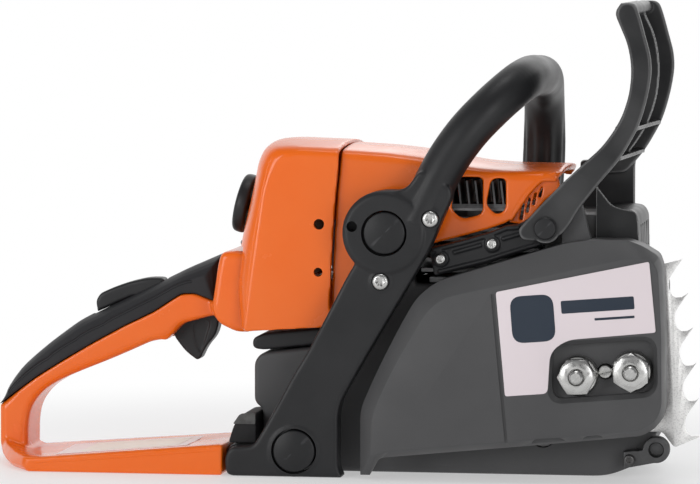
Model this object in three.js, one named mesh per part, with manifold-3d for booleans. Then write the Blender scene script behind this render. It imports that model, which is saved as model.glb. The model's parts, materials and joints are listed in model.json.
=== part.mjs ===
// A 45 cc petrol chainsaw power head, without its guide bar and chain. Millimetres, +X forward, +Y to the
// saw's left (starter side), +Z up. The numbers below are on the engine's axes: y = 0 is the cylinder's
// centre plane and z = 0 is the ground. The group is shifted at the end to the middle of the saw's footprint.
import * as THREE from "three";
import { mergeVertices } from "three/addons/utils/BufferGeometryUtils.js";
import Module from "manifold-3d";

const wasm = await Module();
wasm.setup();

// ---- driving dimensions --------------------------------------------------------------------------
const FOOTPRINT = { x: 1.5, y: 13.2 }; // middle of the footprint, on the engine's axes
const GAP = 0.4; // clearance between neighbouring pieces
const WALL = 2.5; // wall of the moulded covers
const CRANK = { x: 82, z: 58 }; // crankshaft axis, along y
const STROKE = 30;
const BORE_R = 21.25;
const HOUSING = { right: -39, left: 44 }; // side faces of the engine housing
const COVER = { rim: -48, shoulder: -70, face: -78 }; // sprocket cover, from the bar plane outwards
const STUDS = [{ x: 144, z: 62 }, { x: 175, z: 65 }]; // M8 bar studs, 31 mm apart
const NUT_FLATS = 19; // across the flats
const NUT_TURN = [0.49, 0]; // where each nut came to rest, radians
const TENSION = { x: 159.5, z: 64.5 }; // chain tensioner screw, between the studs
const SLIDER = { x: 150, z: 45 };
const FRAME = { face: -70, back: -56 }; // right-hand frame of the handlebar
const AV_UPPER = { x: 31, z: 142.5, r: 12.7 };
const AV_LOWER = { x: -22, z: 15, r: 12.7 };
const TUBE_R = 12.3; // handlebar tube
const GUARD_PIVOT = { x: 124, z: 146 };
const GUARD_SPLAY = 5; // how much further forward the guard's left edge stands
const GUARD_Y = { right: -66, left: 37 };
const TRIGGER_PIVOT = { x: -80, z: 90 };
const LOCKOUT_PIVOT = { x: -113, z: 100 };
const HANDLE = { right: -22, left: 16 }; // rear handle, side faces
const LEVER = { x: -62, z: 112 }; // master control lever's pivot
const ROPE_R = 1.8;
const ROPE = { x: 131, y: 60 };
const PULLEY_R = 24;
const FUEL_CAP = { x: -26, z: 100 };
const OIL_CAP = { x: 158, z: 30 };
const FINENESS = 0.72; // facets of round shapes, as a share of the count asked for
const AV_LEFT = { x: 58, z: 26 }; // left anti-vibration buffer, at the foot of the tube
const OIL_PUMP = { x: 120, z: 24 };
const FRAME_SCREWS = [{ x: 58, z: 151 }, { x: 29, z: 114.5 }];
const CARRIER_SCREWS = [{ x: 62, z: 127 }, { x: 92, z: 136 }];
const COVER_PINS = [{ x: -10.5, z: 146 }, { x: -11, z: 118 }]; // screw holes in the filter cover's flank
const PORT_Z = 131; // axis of the inlet and exhaust ports
const PLUG_X = 74; // spark plug
const TRIGGER_Y = { right: -9.6, left: 3.6 }; // faces of the trigger and the lockout
const LOCK = { x: -57, y: -5, z: 154, tilt: 0.24 }; // twist lock on the slanted rear wall

// ---- materials -----------------------------------------------------------------------------------
const orange = [0xe86a1c, 0.35, 0];
const grey = [0x4a4a4c, 0.55, 0];
const black = [0x26272a, 0.6, 0];
const rubber = [0x1c1c1e, 0.85, 0];
const steel = [0xb9b9b6, 0.35, 1];
const darkSteel = [0x6a6a6c, 0.45, 1];
const aluminium = [0xa9aaac, 0.5, 1];
const paper = [0xd8ced2, 0.5, 0];
const foam = [0xd6d2c4, 0.9, 0];

// ---- shaping helpers -----------------------------------------------------------------------------
// A three.js geometry as a solid, with its faces turned outwards.
function solid(geometry) {
  const g = geometry.clone();
  for (const extra of ["normal", "uv"]) g.deleteAttribute(extra);
  const merged = mergeVertices(g, 1e-4);
  const p = merged.attributes.position.array;
  const kept = [];
  let volume = 0;
  const at = (i) => new THREE.Vector3(p[3 * i], p[3 * i + 1], p[3 * i + 2]);
  for (let i = 0; i < merged.index.count; i += 3) {
    const [a, b, c] = [0, 1, 2].map((k) => merged.index.getX(i + k));
    if (a === b || b === c || c === a) continue;
    kept.push(a, b, c);
    volume += at(a).dot(at(b).cross(at(c)));
  }
  if (volume < 0)
    for (let i = 0; i < kept.length; i += 3) [kept[i + 1], kept[i + 2]] = [kept[i + 2], kept[i + 1]];
  return new wasm.Manifold(
    new wasm.Mesh({ numProp: 3, vertProperties: p, triVerts: new Uint32Array(kept) }),
  );
}
const join = (...list) => list.reduce((a, b) => a.add(b));
const cut = (body, ...tools) => tools.reduce((a, b) => a.subtract(b), body);

// Corners of an outline in the x-z plane rounded to a radius; an entry's third number is its own radius.
function outline(points, radius = 0, steps = 2) {
  const out = [];
  points.forEach(([x, z, own], i) => {
    const here = new THREE.Vector2(x, z);
    const [px, pz] = points[(i + points.length - 1) % points.length];
    const [nx, nz] = points[(i + 1) % points.length];
    const before = new THREE.Vector2(px, pz).sub(here);
    const after = new THREE.Vector2(nx, nz).sub(here);
    const reach = Math.min(own ?? radius, before.length() * 0.45, after.length() * 0.45);
    if (reach < 0.2) return out.push(here);
    const a = here.clone().add(before.setLength(reach));
    const b = here.clone().add(after.setLength(reach));
    for (let k = 0; k <= steps; k++) {
      const t = k / steps;
      out.push(
        a.clone().multiplyScalar((1 - t) ** 2).addScaledVector(
          here,
          2 * t * (1 - t),
        ).addScaledVector(b, t * t),
      );
    }
  });
  return out;
}
// An x-z outline made solid from y0 to y1.
function slab(points, y0, y1, radius = 0) {
  const shape = new THREE.Shape(outline(points, radius));
  const g = new THREE.ExtrudeGeometry(shape, { depth: y1 - y0, bevelEnabled: false, steps: 1 });
  return solid(g.rotateX(Math.PI / 2).translate(0, y1, 0));
}
const box = (x0, x1, y0, y1, z0, z1) => slab([[x0, z0], [x1, z0], [x1, z1], [x0, z1]], y0, y1);
const facets = (sides) => Math.max(sides > 8 ? 10 : sides, 2 * Math.round((sides * FINENESS) / 2));
// A round bar along y.
function rod(c, r, y0, y1, sides = 24, rEnd = r) {
  const g = new THREE.CylinderGeometry(rEnd, r, y1 - y0, facets(sides));
  return solid(g.translate(c.x, (y0 + y1) / 2, c.z));
}
// A round bar along x or z.
const rodX = (x0, x1, y, z, r, sides = 20) =>
  solid(
    new THREE.CylinderGeometry(
      r,
      r,
      x1 - x0,
      facets(sides),
    ).rotateZ(Math.PI / 2).translate((x0 + x1) / 2, y, z),
  );
const rodZ = (x, y, z0, z1, r, sides = 20) =>
  solid(
    new THREE.CylinderGeometry(
      r,
      r,
      z1 - z0,
      facets(sides),
    ).rotateX(Math.PI / 2).translate(x, y, (z0 + z1) / 2),
  );
const ring = (c, r, hole, y0, y1, sides = 32) =>
  cut(rod(c, r, y0, y1, sides), rod(c, hole, y0 - 1, y1 + 1, sides));
// A skin through a row of closed sections with the same number of points each, capped at both ends.
function loft(sections) {
  const n = sections[0].length;
  const flat = [];
  const tri = (a, b, c) => flat.push(...a, ...b, ...c);
  for (let s = 0; s + 1 < sections.length; s++)
    for (let i = 0; i < n; i++) {
      const j = (i + 1) % n;
      tri(sections[s][i], sections[s][j], sections[s + 1][j]);
      tri(sections[s][i], sections[s + 1][j], sections[s + 1][i]);
    }
  for (const [section, turned] of [[sections[0], true], [sections.at(-1), false]]) {
    const [o, p, q] = [
      0,
      Math.floor(n / 3),
      Math.floor((2 * n) / 3),
    ].map((i) => new THREE.Vector3(...section[i]));
    const u = p.clone().sub(o).normalize();
    const w = u.clone().cross(q.clone().sub(o)).normalize();
    const v = w.clone().cross(u);
    const at2 = section.map((c) => new THREE.Vector3(...c).sub(o)).map(
      (c) => new THREE.Vector2(c.dot(u), c.dot(v)),
    );
    const clockwise = THREE.ShapeUtils.isClockWise(at2);
    for (const [a, b, c] of THREE.ShapeUtils.triangulateShape(at2, []))
      turned !== clockwise ? tri(
        section[a],
        section[c],
        section[b],
      ) : tri(section[a], section[b], section[c]);
  }
  const g = new THREE.BufferGeometry();
  g.setAttribute("position", new THREE.Float32BufferAttribute(flat, 3));
  return solid(mergeVertices(g, 1e-4));
}
// A row of x-z outlines, each at its own y.
const layers = (list) => loft(list.map(([y, points]) => points.map(([x, z]) => [x, y, z])));
// A tube along a smooth path; radii may change along it.
function tube(path, radius, sides, steps) {
  const curve = new THREE.CatmullRomCurve3(
    path.map((p) => new THREE.Vector3(...p)),
    false,
    "centripetal",
  );
  const frames = curve.computeFrenetFrames(steps, false);
  const sections = [];
  for (let s = 0; s <= steps; s++) {
    const c = curve.getPointAt(s / steps);
    const r = typeof radius === "number" ? radius : radius(s / steps);
    sections.push(
      Array.from({ length: sides }, (_, i) => {
        const a = (2 * Math.PI * i) / sides;
        const v = c.clone();
        v.addScaledVector(frames.normals[s], r * Math.cos(a)).addScaledVector(
          frames.binormals[s],
          r * Math.sin(a),
        );
        return v.toArray();
      }),
    );
  }
  return loft(sections);
}
const moved = (body, matrix) => body.transform(matrix.elements);
const shifted = (points, dx, dz) => points.map(([x, z, r]) => [x + dx, z + dz, r]);

const group = new THREE.Group();
group.name = "chainsaw";
function add(name, body, [colour, roughness, metalness]) {
  const m = body.getMesh();
  const g = new THREE.BufferGeometry();
  const v = new Float32Array(m.numVert * 3);
  for (let i = 0; i < m.numVert; i++) v.set(
    m.vertProperties.subarray(i * m.numProp, i * m.numProp + 3),
    i * 3,
  );
  g.setAttribute("position", new THREE.BufferAttribute(v, 3));
  g.setIndex(new THREE.BufferAttribute(new Uint32Array(m.triVerts), 1));
  const drawn = g.toNonIndexed();
  drawn.computeVertexNormals();
  const mesh = new THREE.Mesh(
    drawn,
    new THREE.MeshStandardMaterial({ color: colour, roughness, metalness }),
  );
  mesh.name = name;
  group.add(mesh);
}

// ---- engine housing: crankcase, oil tank and the flat face the guide bar is clamped to -----------
const HOUSING_SIDE = [
  [-46, 4, 6], [-46, 36, 1], [-51, 40, 3], [-51, 64, 6], [-47, 69, 4], [-18, 72.6, 3], [6, 76, 3],
  [14, 103, 5],
  [40, 111, 4], [118, 111, 3], [128, 120, 4], [160, 125, 4], [182, 121, 6], [187, 111, 5], [187, 26, 5],
  [177, 8, 6], [158, 0, 8], [-38, 0, 5],
];
const AV_LUG = [[20, 100], [18, 138, 6], [24, 155, 6], [38, 155, 6], [44, 138, 6], [44, 105]];
function engineHousing() {
  let body = slab(HOUSING_SIDE, HOUSING.right, HOUSING.left, 0);
  body = join(body, slab(AV_LUG, HOUSING.right, -28), box(14, 60, HOUSING.right, -28, 90, 108));
  body = cut(
    body,
    rod(CRANK, 38, HOUSING.right - 1, -17, 40), // clutch pocket
    box(91, 101, HOUSING.right - 1, -22, 87, 96), // anchor of the brake band
    rod(CRANK, 16, -18, 18, 24), // bearing seats
    rod(CRANK, 27.5, -12, 12, 32), // crank chamber
    rodZ(CRANK.x, 0, 70, 115, 23.2, 28), // opening under the cylinder
    rod(CRANK, 49, 21, 45, 44), // flywheel pocket
    rod(CRANK, 16.2, 16, 22, 24),
    box(122, 146, 21, 45, 46, 72), // seat of the ignition module
    rod(OIL_PUMP, 7.8, HOUSING.right - 1, -20, 16), // oil pump seat
    box(
      SLIDER.x - 16,
      SLIDER.x + 16,
      HOUSING.right - 1,
      -28,
      SLIDER.z - 5.6,
      SLIDER.z + 5.6,
    ), // tensioner slot
    rod(TENSION, 4.6, HOUSING.right - 1, -26, 16),
    ...STUDS.map((s) => rod(s, 4.3, HOUSING.right - 1, -20, 16)),
    box(134, 178, -16, 38, 10, 52), // oil tank
    rod(OIL_CAP, 11.4, 30, 45, 24),
    rod(AV_LOWER, 4.3, HOUSING.right - 1, -22, 12),
    rod(AV_UPPER, 4.3, HOUSING.right - 1, -27, 12),
    box(-42, 0, -30, 38, 8, 30), // open hollow under the rear, with ribs left standing
  );
  body = cut(
    body,
    box(-38, -4, -24, 32, -1, 9),
    box(10, 34, -30, 38, 14, 84),
    box(14, 30, -24, 32, -1, 15),
  );
  return body;
}
add("engine_housing", engineHousing(), grey);

// ---- crank drive ---------------------------------------------------------------------------------
function crankshaft() {
  const webs = [[-10.6, -4], [4, 10.6]].map(([a, b]) => rod(CRANK, 24.5, a, b, 28));
  const journal = join(rod(CRANK, 7.4, -44, 46, 18), ...webs);
  return join(journal, rod({ x: CRANK.x, z: CRANK.z + STROKE / 2 }, 6, -5, 5, 16));
}
add("crankshaft", crankshaft(), steel);
for (const [name, y] of [["bearing_right", -16.6], ["bearing_left", 12.4]])
  add(name, ring(CRANK, 15.7, 7.8, y, y + 4.2, 20), steel);
function flywheel() {
  let body = join(
    ring(CRANK, 45, 38, 25, 42, 40),
    ring(CRANK, 39, 7.7, 25, 29, 28),
    ring(CRANK, 12, 7.7, 28, 41, 20),
  );
  for (let i = 0; i < 12; i++) {
    const a = (i * Math.PI) / 6;
    const blade = box(20, 39, 28, 40, -1, 1);
    const turn = new THREE.Matrix4().makeRotationY(a).setPosition(CRANK.x, 0, CRANK.z);
    body = body.add(moved(blade, turn));
  }
  return body;
}
add("flywheel", flywheel(), aluminium);
add(
  "piston",
  cut(rodZ(CRANK.x, 0, 118, 146, BORE_R - 0.3, 24), rodZ(CRANK.x, 0, 117, 141, BORE_R - 3.5, 24)),
  aluminium,
);
function cylinder() {
  let body = rodZ(CRANK.x, 0, 111.4, 158, 27, 28);
  for (let i = 0; i < 7; i++) {
    const z = 118 + 6 * i;
    body = body.add(box(CRANK.x - 34, CRANK.x + 35, -36, 36, z, z + 2.2));
  }
  body = join(body, box(CRANK.x - 30, CRANK.x + 30, -30, 30, 111.4, 114.5));
  body = join(body, box(44, 56, -15, 15, 119, 143), box(110, 118.5, -17, 17, 120, 142));
  return cut(
    body,
    rodZ(CRANK.x, 0, 110, 151, BORE_R, 28),
    rodX(43, 66, 0, 130, 9, 16), // inlet port
    rodX(98, 120, 0, 130, 9, 16), // exhaust port
    rodZ(PLUG_X, 0, 149, 160, 6.2, 16), // plug hole
  );
}
add("cylinder", cylinder(), aluminium);
add(
  "spark_plug",
  join(
    rodZ(PLUG_X, 0, 152, 158.6, 5.6, 12),
    rodZ(PLUG_X, 0, 158.4, 163, 9, 6),
    rodZ(PLUG_X, 0, 162, 168, 4, 12),
  ),
  steel,
);
add(
  "spark_plug_boot",
  cut(
    join(rodZ(PLUG_X, 0, 163.6, 173.5, 8, 14), rodX(56, PLUG_X, 0, 169, 5, 12)),
    rodZ(PLUG_X, 0, 163, 169, 4.5, 12),
  ),
  rubber,
);

// ---- clutch, sprocket and chain brake ------------------------------------------------------------
function clutchHub() {
  let body = ring(CRANK, 12, 7.7, -34, -20, 20);
  for (let i = 0; i < 3; i++) {
    const shoe = cut(
      ring({ x: 0, z: 0 }, 29.5, 18, -33, -22, 48),
      box(-40, 40, -40, 0, -40, -2),
      box(-40, -24.5, -40, 0, -40, 40),
      box(24.5, 40, -40, 0, -40, 40),
      box(-40, 40, -40, 0, -2.1, 11),
    );
    const arm = box(-2.5, 2.5, -32, -23, 10, 20);
    const turn = new THREE.Matrix4().makeRotationY(
      (i * 2 * Math.PI) / 3,
    ).setPosition(CRANK.x, 0, CRANK.z);
    body = join(body, moved(shoe.add(arm), turn));
  }
  return body;
}
add("clutch_hub", clutchHub(), darkSteel);
function clutchDrum() {
  let body = join(
    ring(CRANK, 33.6, 31, -37.4, -20.5, 40),
    ring(CRANK, 32, 8.2, -37.4, -35.6, 32),
    ring(CRANK, 11.5, 8.2, -47, -36, 20),
  );
  for (let i = 0; i < 7; i++) {
    const tooth = slab([[10.5, -3.6], [17.4, -1.4], [17.4, 1.4], [10.5, 3.6]], -46.8, -40);
    body = body.add(
      moved(
        tooth,
        new THREE.Matrix4().makeRotationY((i * 2 * Math.PI) / 7).setPosition(CRANK.x, 0, CRANK.z),
      ),
    );
  }
  return body;
}
add("clutch_drum", clutchDrum(), steel);
function brakeBand() {
  const hoop = cut(
    ring(CRANK, 35.8, 34.5, -35, -23, 48),
    slab([[CRANK.x, CRANK.z], [130, 76], [130, 110], [100, 112]], -36, -22),
  );
  return join(hoop, slab([[96.9, 89.4], [98.1, 90], [99.5, 93.2], [93, 93.2], [93.2, 91.6]], -35, -23));
}
add("brake_band", brakeBand(), steel);

// ---- bar mount: side plate, studs, tensioner, bumper and chain catcher ---------------------------
function sidePlate() {
  const plate = slab(
    [
      [112, 22], [174, 26], [180, 38], [180, 98], [170, 116], [140, 112], [128, 100], [124, 60],
      [112, 30],
    ],
    HOUSING.right - 1.9,
    HOUSING.right - GAP,
    5,
  );
  return cut(
    plate,
    ...STUDS.map((s) => rod(s, 4.6, -45, -38, 16)),
    rod(TENSION, 5, -45, -38, 16),
    box(SLIDER.x - 12, SLIDER.x + 12, -45, -38, SLIDER.z - 3.4, SLIDER.z + 3.4),
    rod(OIL_PUMP, 8.4, -45, -38, 16),
  );
}
add("side_plate", sidePlate(), steel);
STUDS.forEach((s, i) => add("bar_stud_" + (i + 1), rod(s, 3.9, -87, -21, 16), steel));
STUDS.forEach((s, i) => {
  const r = NUT_FLATS / Math.sqrt(3);
  const hex = new THREE.CylinderGeometry(r, r, 9.5, 6).rotateY(NUT_TURN[i]).translate(s.x, -78.6, s.z);
  const nut = join(solid(hex), rod(s, 11.6, -74.2, -70.6, 28));
  add("bar_nut_" + (i + 1), cut(nut, rod(s, 4.3, -90, -60, 16)), steel);
});
add(
  "tensioner_screw",
  cut(
    rod(TENSION, 3.9, -73, -27, 16),
    box(TENSION.x - 5, TENSION.x + 5, -74, -71.6, TENSION.z - 0.7, TENSION.z + 0.7),
  ),
  darkSteel,
);
add(
  "tensioner_slider",
  join(
    box(SLIDER.x - 9, SLIDER.x + 5, -38.4, -29, SLIDER.z - 5, SLIDER.z + 5),
    rod({ x: SLIDER.x - 2, z: SLIDER.z }, 2.9, -47, -38, 14),
  ),
  darkSteel,
);
// The bumper's teeth hook upwards along its curved front edge; below each tip the edge runs round a scoop.
const SCOOP = [[-6.6, -9.6], [-7.9, -12.6], [-7.9, -17.4], [-6.4, -20.6], [-3.7, -22.3], [0, -22]];
const BUMPER_TIPS = [[201, 127.5], [204.5, 108], [207.5, 88], [209.5, 67.5], [211, 47], [212, 24.5]];
function bumper() {
  const front = [];
  BUMPER_TIPS.forEach(([x, z], i) => {
    front.push([x, z]);
    const next = BUMPER_TIPS[i + 1];
    if (next) front.push(...SCOOP.map(([dx, dz]) => [x + dx, z + dz]));
  });
  return slab(
    [
      [180.8, 124, 3], [190, 124.5, 1], ...front, [206, 22, 1], [197, 18, 2], [190, 27, 2],
      [180.8, 27, 3],
    ],
    -42.4,
    HOUSING.right - GAP,
  );
}
add("spiked_bumper", bumper(), steel);
function chainCatcher() {
  const c = { x: 187, z: 17.3 };
  return cut(
    join(
      rod(c, 7.8, -50, -42.8, 24),
      slab([[168, 6], [187, 9.8], [187, 18], [168, 16]], -50, -42.8),
      slab([[168, 6], [175, 7.5], [175, 17], [168, 16]], -50, HOUSING.right - GAP),
    ),
    rod(c, 3.9, -51, -42, 16),
    rod({ x: 171.5, z: 11.3 }, 1.8, -51, -38, 10),
  );
}
add("chain_catcher", chainCatcher(), darkSteel);
add(
  "oil_pump",
  join(rod(OIL_PUMP, 7.3, -38.6, -21, 16), rod(OIL_PUMP, 3.4, -41.5, -38, 12)),
  darkSteel,
);
add("ignition_module", join(box(128.6, 145, 23, 43, 47, 71), box(127.4, 130, 27, 39, 50, 68)), black);

// ---- sprocket cover ------------------------------------------------------------------------------
const COVER_SIDE = [
  [17, 2], [17, 40], [23, 54], [31, 71], [42, 92], [49, 104], [55, 110], [63, 115.5], [86, 122.5],
  [104, 128],
  [125, 134.5], [138, 138.3], [153, 140], [171.5, 140], [180, 137], [189, 131.6], [191.5, 125],
  [193.2, 88], [193.7, 46], [192, 37.5], [188.6, 32.5], [181, 27.5], [142, 23.4], [102, 19.3], [64, 15.6], [28, 12], [22.5, 2],
];
const COVER_RAISED = [
  [24, 14], [25, 38], [31, 52], [38, 66], [47, 82], [56, 97], [62, 103], [69, 107], [88, 111.5],
  [104, 115],
  [125, 119.6], [138, 122.6], [153, 126], [171, 130], [179, 131], [186.4, 129], [190, 123],
  [191.9, 88], [192.4, 46], [190.6, 40], [187.4, 36], [180, 31.5], [142, 27.5], [102, 23.4], [64, 19.7], [34, 16.6], [27, 14.5],
];
const inset = (points, d) =>
  points.map(([x, z], i) => {
    const [a, b] = [points.at(i - 1), points[(i + 1) % points.length]];
    const n = new THREE.Vector2(b[1] - a[1], a[0] - b[0]).normalize();
    return [x + n.x * d, z + n.y * d];
  });
const NUT_RECESS = [[126.5, 45.5], [191, 51], [189.5, 87.5], [127, 81.5]];
function sprocketCover() {
  const outer = join(
    layers([[COVER.shoulder, COVER_SIDE], [COVER.rim, COVER_SIDE]]),
    layers([[COVER.face, COVER_RAISED], [COVER.shoulder + 0.01, COVER_SIDE]]),
  );
  const inner = join(
    layers([[COVER.shoulder - 0.6, inset(COVER_SIDE, 2.6)], [COVER.rim + 1, inset(COVER_SIDE, 2.6)]]),
    layers(
      [[COVER.face + WALL, inset(COVER_RAISED, 2.2)], [COVER.shoulder - 0.59, inset(COVER_SIDE, 2.6)]],
    ),
  );
  const pad = slab([[123, 42], [194, 48], [193, 91], [124, 85]], COVER.face + 0.1, COVER.rim, 6);
  let body = cut(outer, inner).add(pad.intersect(outer));
  // grey fin beside the brake lever's pivot
  body = body.add(
    slab(
      [
        [132.6, 134], [132.6, 146, 1], [138, 150], [142, 160, 1], [144, 160, 1], [149, 141, 1],
        [152, 134],
      ],
      -58, -50.5,
    ),
  );
  const fins = [0, 1, 2].map((i) => box(120, 160, -60, -50, 143.5 + 5 * i, 145 + 5 * i));
  body = cut(body, slab(NUT_RECESS, COVER.face - 1, COVER.shoulder, 8), rod(TENSION, 4.6, -80, -40, 20));
  body = cut(
    body,
    ...STUDS.map((s) => rod(s, 4.4, -80, -40, 16)),
    ...fins.map((f) => cut(f, box(118, 162, -56, -49, 140, 165))),
  );
  return cut(body, box(10, 60, -67, -40, -2, 44)); // chips leave at the lower rear, where the rim is open
}
add("sprocket_cover", sprocketCover(), grey);
add(
  "side_label",
  slab(
    [
      [97, 110, 2], [185, 128.5, 2], [189, 88, 2], [138, 83, 6], [128.5, 76, 6], [127, 52, 3],
      [102.5, 50, 2],
    ],
    COVER.face - 1,
    COVER.face - GAP,
  ),
  paper,
);

// ---- top shroud and filter cover -----------------------------------------------------------------
// Both are crowned mouldings: a row of side outlines, lower and further in towards the two flanks.
const SHROUD_TOP = (drop, nose) => [
  [2, 190 - drop],
  [28, 188.5 - drop],
  [53, 185.5 - drop],
  [80, 180 - drop],
  [104, 178.5 - drop],
  [131 - nose, 178.4 - drop],
];
const SHROUD_REST = [
  [119, 173], [112, 166], [104, 154], [101, 148.5], [90, 144.4], [74, 139.8], [57, 135.5], [40, 129],
  [26, 112], [18, 96], [14, 87], [-9.5, 86], [-3.8, 100], [-3, 122], [-1.5, 148], [-0.5, 162], [1, 177],
];
const shroudSide = (drop, nose) => [...SHROUD_TOP(drop, nose), ...SHROUD_REST];
function topShroud() {
  const outer = layers(
    [
      [-45, shroudSide(5, 3)],
      [-43.5, shroudSide(2.4, 1)],
      [-40, shroudSide(0.8, 0)],
      [0, shroudSide(-1.6, 0)],
      [42, shroudSide(0.8, 0)],
      [45.5, shroudSide(2.4, 1)],
      [47, shroudSide(5, 3)],
    ],
  );
  const hollow = slab(
    [
      [-30, 60], [150, 60], [150, 173], [126, 174.6], [104, 175], [80, 176], [53, 181.5], [28, 184.5],
      [-30, 186],
    ],
    -42.5, 44.5,
  );
  const vent = (x0, x1, zTop, zLow, y0, y1) => slab(
    [[x0, zLow + 4, 2], [x0 + 3, zTop, 3], [x1, zTop, 2], [x1, zLow + 1, 3], [x0 + 6, zLow - 2, 3]],
    y0,
    y1,
  );
  return cut(
    outer, hollow,
    vent(66.5, 85, 174, 151.5, -50, -40), vent(87, 98.5, 173.5, 154, -50, -40),
    vent(66.5, 85, 174, 151.5, 40, 50), vent(87, 98.5, 173.5, 154, 40, 50),
    rod(AV_UPPER, 13.5, -50, -40, 24),
    rod(FRAME_SCREWS[0], 3, -50, -40, 12),
    rod(FRAME_SCREWS[1], 3, -50, -40, 12),
    // The starter side is lower.
    box(20, 60, 40, 50, 60, 126),
    box(100, 140, 40, 50, 60, 150),
    box(60, 101, 40, 50, 60, 132),
  );
}
add("top_shroud", topShroud(), orange);

const coverRear = (lean, drop) => [
  [-3.6, 86],
  [-56 - 0.35 * lean, 82.5],
  [-54.3 - lean, 108],
  [-50.6 - 1.05 * lean, 135],
  [-45.6 - 0.8 * lean, 165],
  [-42 - 0.85 * lean, 180 - drop],
  [-39.5 - 0.85 * lean, 186 - drop],
  [-35 - 0.8 * lean, 190 - drop],
  [-27 - 0.7 * lean, 191.4 - drop],
  [0, 190.3 - drop],
  [0, 177], [-1.6, 162], [-2.6, 148], [-4.2, 122], [-5, 100],
];
function filterCover() {
  const outer = layers(
    [
      [-50, coverRear(-3, 4)],
      [-48.5, coverRear(0, 1.6)],
      [-45, coverRear(3, 0)],
      [-34, coverRear(8, -1.4)],
      [0, coverRear(10.5, -3)],
      [36, coverRear(8, -1.4)],
      [47, coverRear(3, 0)],
      [50.5, coverRear(0, 1.6)],
      [52, coverRear(-3, 4)],
    ],
  );
  // The hollow runs out through the open front and the open foot.
  const thin = (lean, drop) =>
    inset(coverRear(lean, drop), WALL).map(([x, z], i) => {
      if (i === 0) return [x + 12, z - 12];
      if (i === 1) return [x + 2 * WALL, z - 14];
      return i > 8 ? [x + 12, z] : [x, z];
    });
  const hollow = layers(
    [
      [-47.5, thin(0, 2)],
      [-45, thin(3, 0.6)],
      [-34, thin(8, -1)],
      [0, thin(10.5, -2.6)],
      [36, thin(8, -1)],
      [47, thin(3, 0.6)],
      [49.5, thin(0, 2)],
    ],
  );
  return cut(
    outer,
    hollow,
    slab(TANK_SIDE.map(([x, z]) => [x, z]), -40, 42).add(box(-90, -50, -40, 42, 70, 131.5)),
    rod(COVER_PINS[0], 3.1, -55, -44, 16),
    rod(COVER_PINS[1], 2.6, -55, -44, 16),
    moved(rod({ x: 0, z: 0 }, 5, -30, 30, 16), lockFrame()),
    rod(FUEL_CAP, 16.5, 45, 60, 24),
    box(-80, -54, 41.5, 54, 104, 121),
  );
}
// The twist lock's axis leans back with the cover's rear wall; local y points out of the wall.
function lockFrame() {
  const out = new THREE.Vector3(-Math.cos(LOCK.tilt), 0, Math.sin(LOCK.tilt));
  const up = new THREE.Vector3(Math.sin(LOCK.tilt), 0, Math.cos(LOCK.tilt));
  return new THREE.Matrix4().makeBasis(
    out.clone().cross(up),
    out,
    up,
  ).setPosition(LOCK.x, LOCK.y, LOCK.z);
}

// ---- tank housing with rear handle ---------------------------------------------------------------
const TANK_SIDE = [
  [-77, 94, 5], [-73, 86, 5], [-62, 81, 3], [-54, 81, 1], [-53, 86.3, 1], [4, 86.3, 3], [4, 112, 4],
  [-49, 113, 4], [-53, 128, 3], [-62, 129, 4], [-71, 128, 3], [-73, 121, 3],
];
const UNDER_GRIP = [
  [-209, 34], [-197, 43.2], [-186, 51.2], [-169, 61.8], [-152, 71.8], [-133, 82.2], [-114, 91.4],
  [-105, 97.4], [-98, 101.8], [-90, 102.2], [-78, 97.8],
];
const HAND_LOOP = [
  [-76, 84], [-76, 96], [-82, 89.5, 2], [-98, 84, 3], [-103, 78, 3], [-108, 74.5, 2], [-116, 73.5, 2],
  [-128, 68, 2], [-143, 61.5, 2], [-160, 54.7, 2], [-173, 49, 3], [-183, 42.5, 4], [-190, 33, 5],
  [-192, 22, 4],
];
function tankHandle() {
  const tank = slab(TANK_SIDE, -38, 40);
  const beam = slab(
    [...UNDER_GRIP, [-70, 97.8], [-70, 88], [-78, 86], ...HAND_LOOP.slice(2), [-192, 6], [-209, 6, 3]],
    HANDLE.right,
    HANDLE.left,
  );
  // The lower bar is wider than the grip and reaches out to the right as far as the frame.
  const end = -65;
  const bar = layers([
    [-68, [[-182.5, 2.5], [-181, 0], [end, 0], [end, 17.2], [-173, 8.2], [-181.5, 7.2]]],
    [-66, [[-185, 3], [-182, 0], [end, 0], [end, 18], [-173, 8.6], [-184, 8.4]]],
    [-50, [[-196, 3.5], [-192, 0], [end, 0], [end, 17.5], [-180, 8], [-194, 12]]],
    [-30, [[-206, 6], [-200, 0], [end, 0], [end, 17], [-187, 7.6], [-202, 26]]],
    [HANDLE.right, [[-209, 8], [-204, 0], [end, 0], [end, 16.6], [-188, 7.4], [-203, 34]]],
    [10, [[-209, 8], [-204, 0], [end, 0], [end, 17], [-188, 8], [-203, 34]]],
  ]);
  return cut(
    join(tank, beam, bar),
    box(-48, 0, -34, 36, 89.5, 109), // fuel tank
    rod(FUEL_CAP, 11.4, 30, 41, 24),
    box(-110, -76, -10.6, 4.6, 70, 98.5), // trigger slot
    box(-155, -106, -10.6, 4.6, 80, 120), // room for the lockout
    ...[TRIGGER_PIVOT, LOCKOUT_PIVOT].map((c) => rod(c, 2.9, -13.5, 7.5, 14)),
    rod(LEVER, 3.6, 34, 41, 16),
  );
}
add("filter_cover", filterCover(), orange);
add("tank_handle", tankHandle(), orange);
const GRIP_TOP = [
  [-74, 126], [-97, 116], [-110, 109.5], [-148, 91.5], [-162, 84.5], [-171, 78], [-181, 70.5], [-190, 63],
  [-197, 56.5], [-202, 50], [-206, 43], [-208.6, 35],
];
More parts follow.
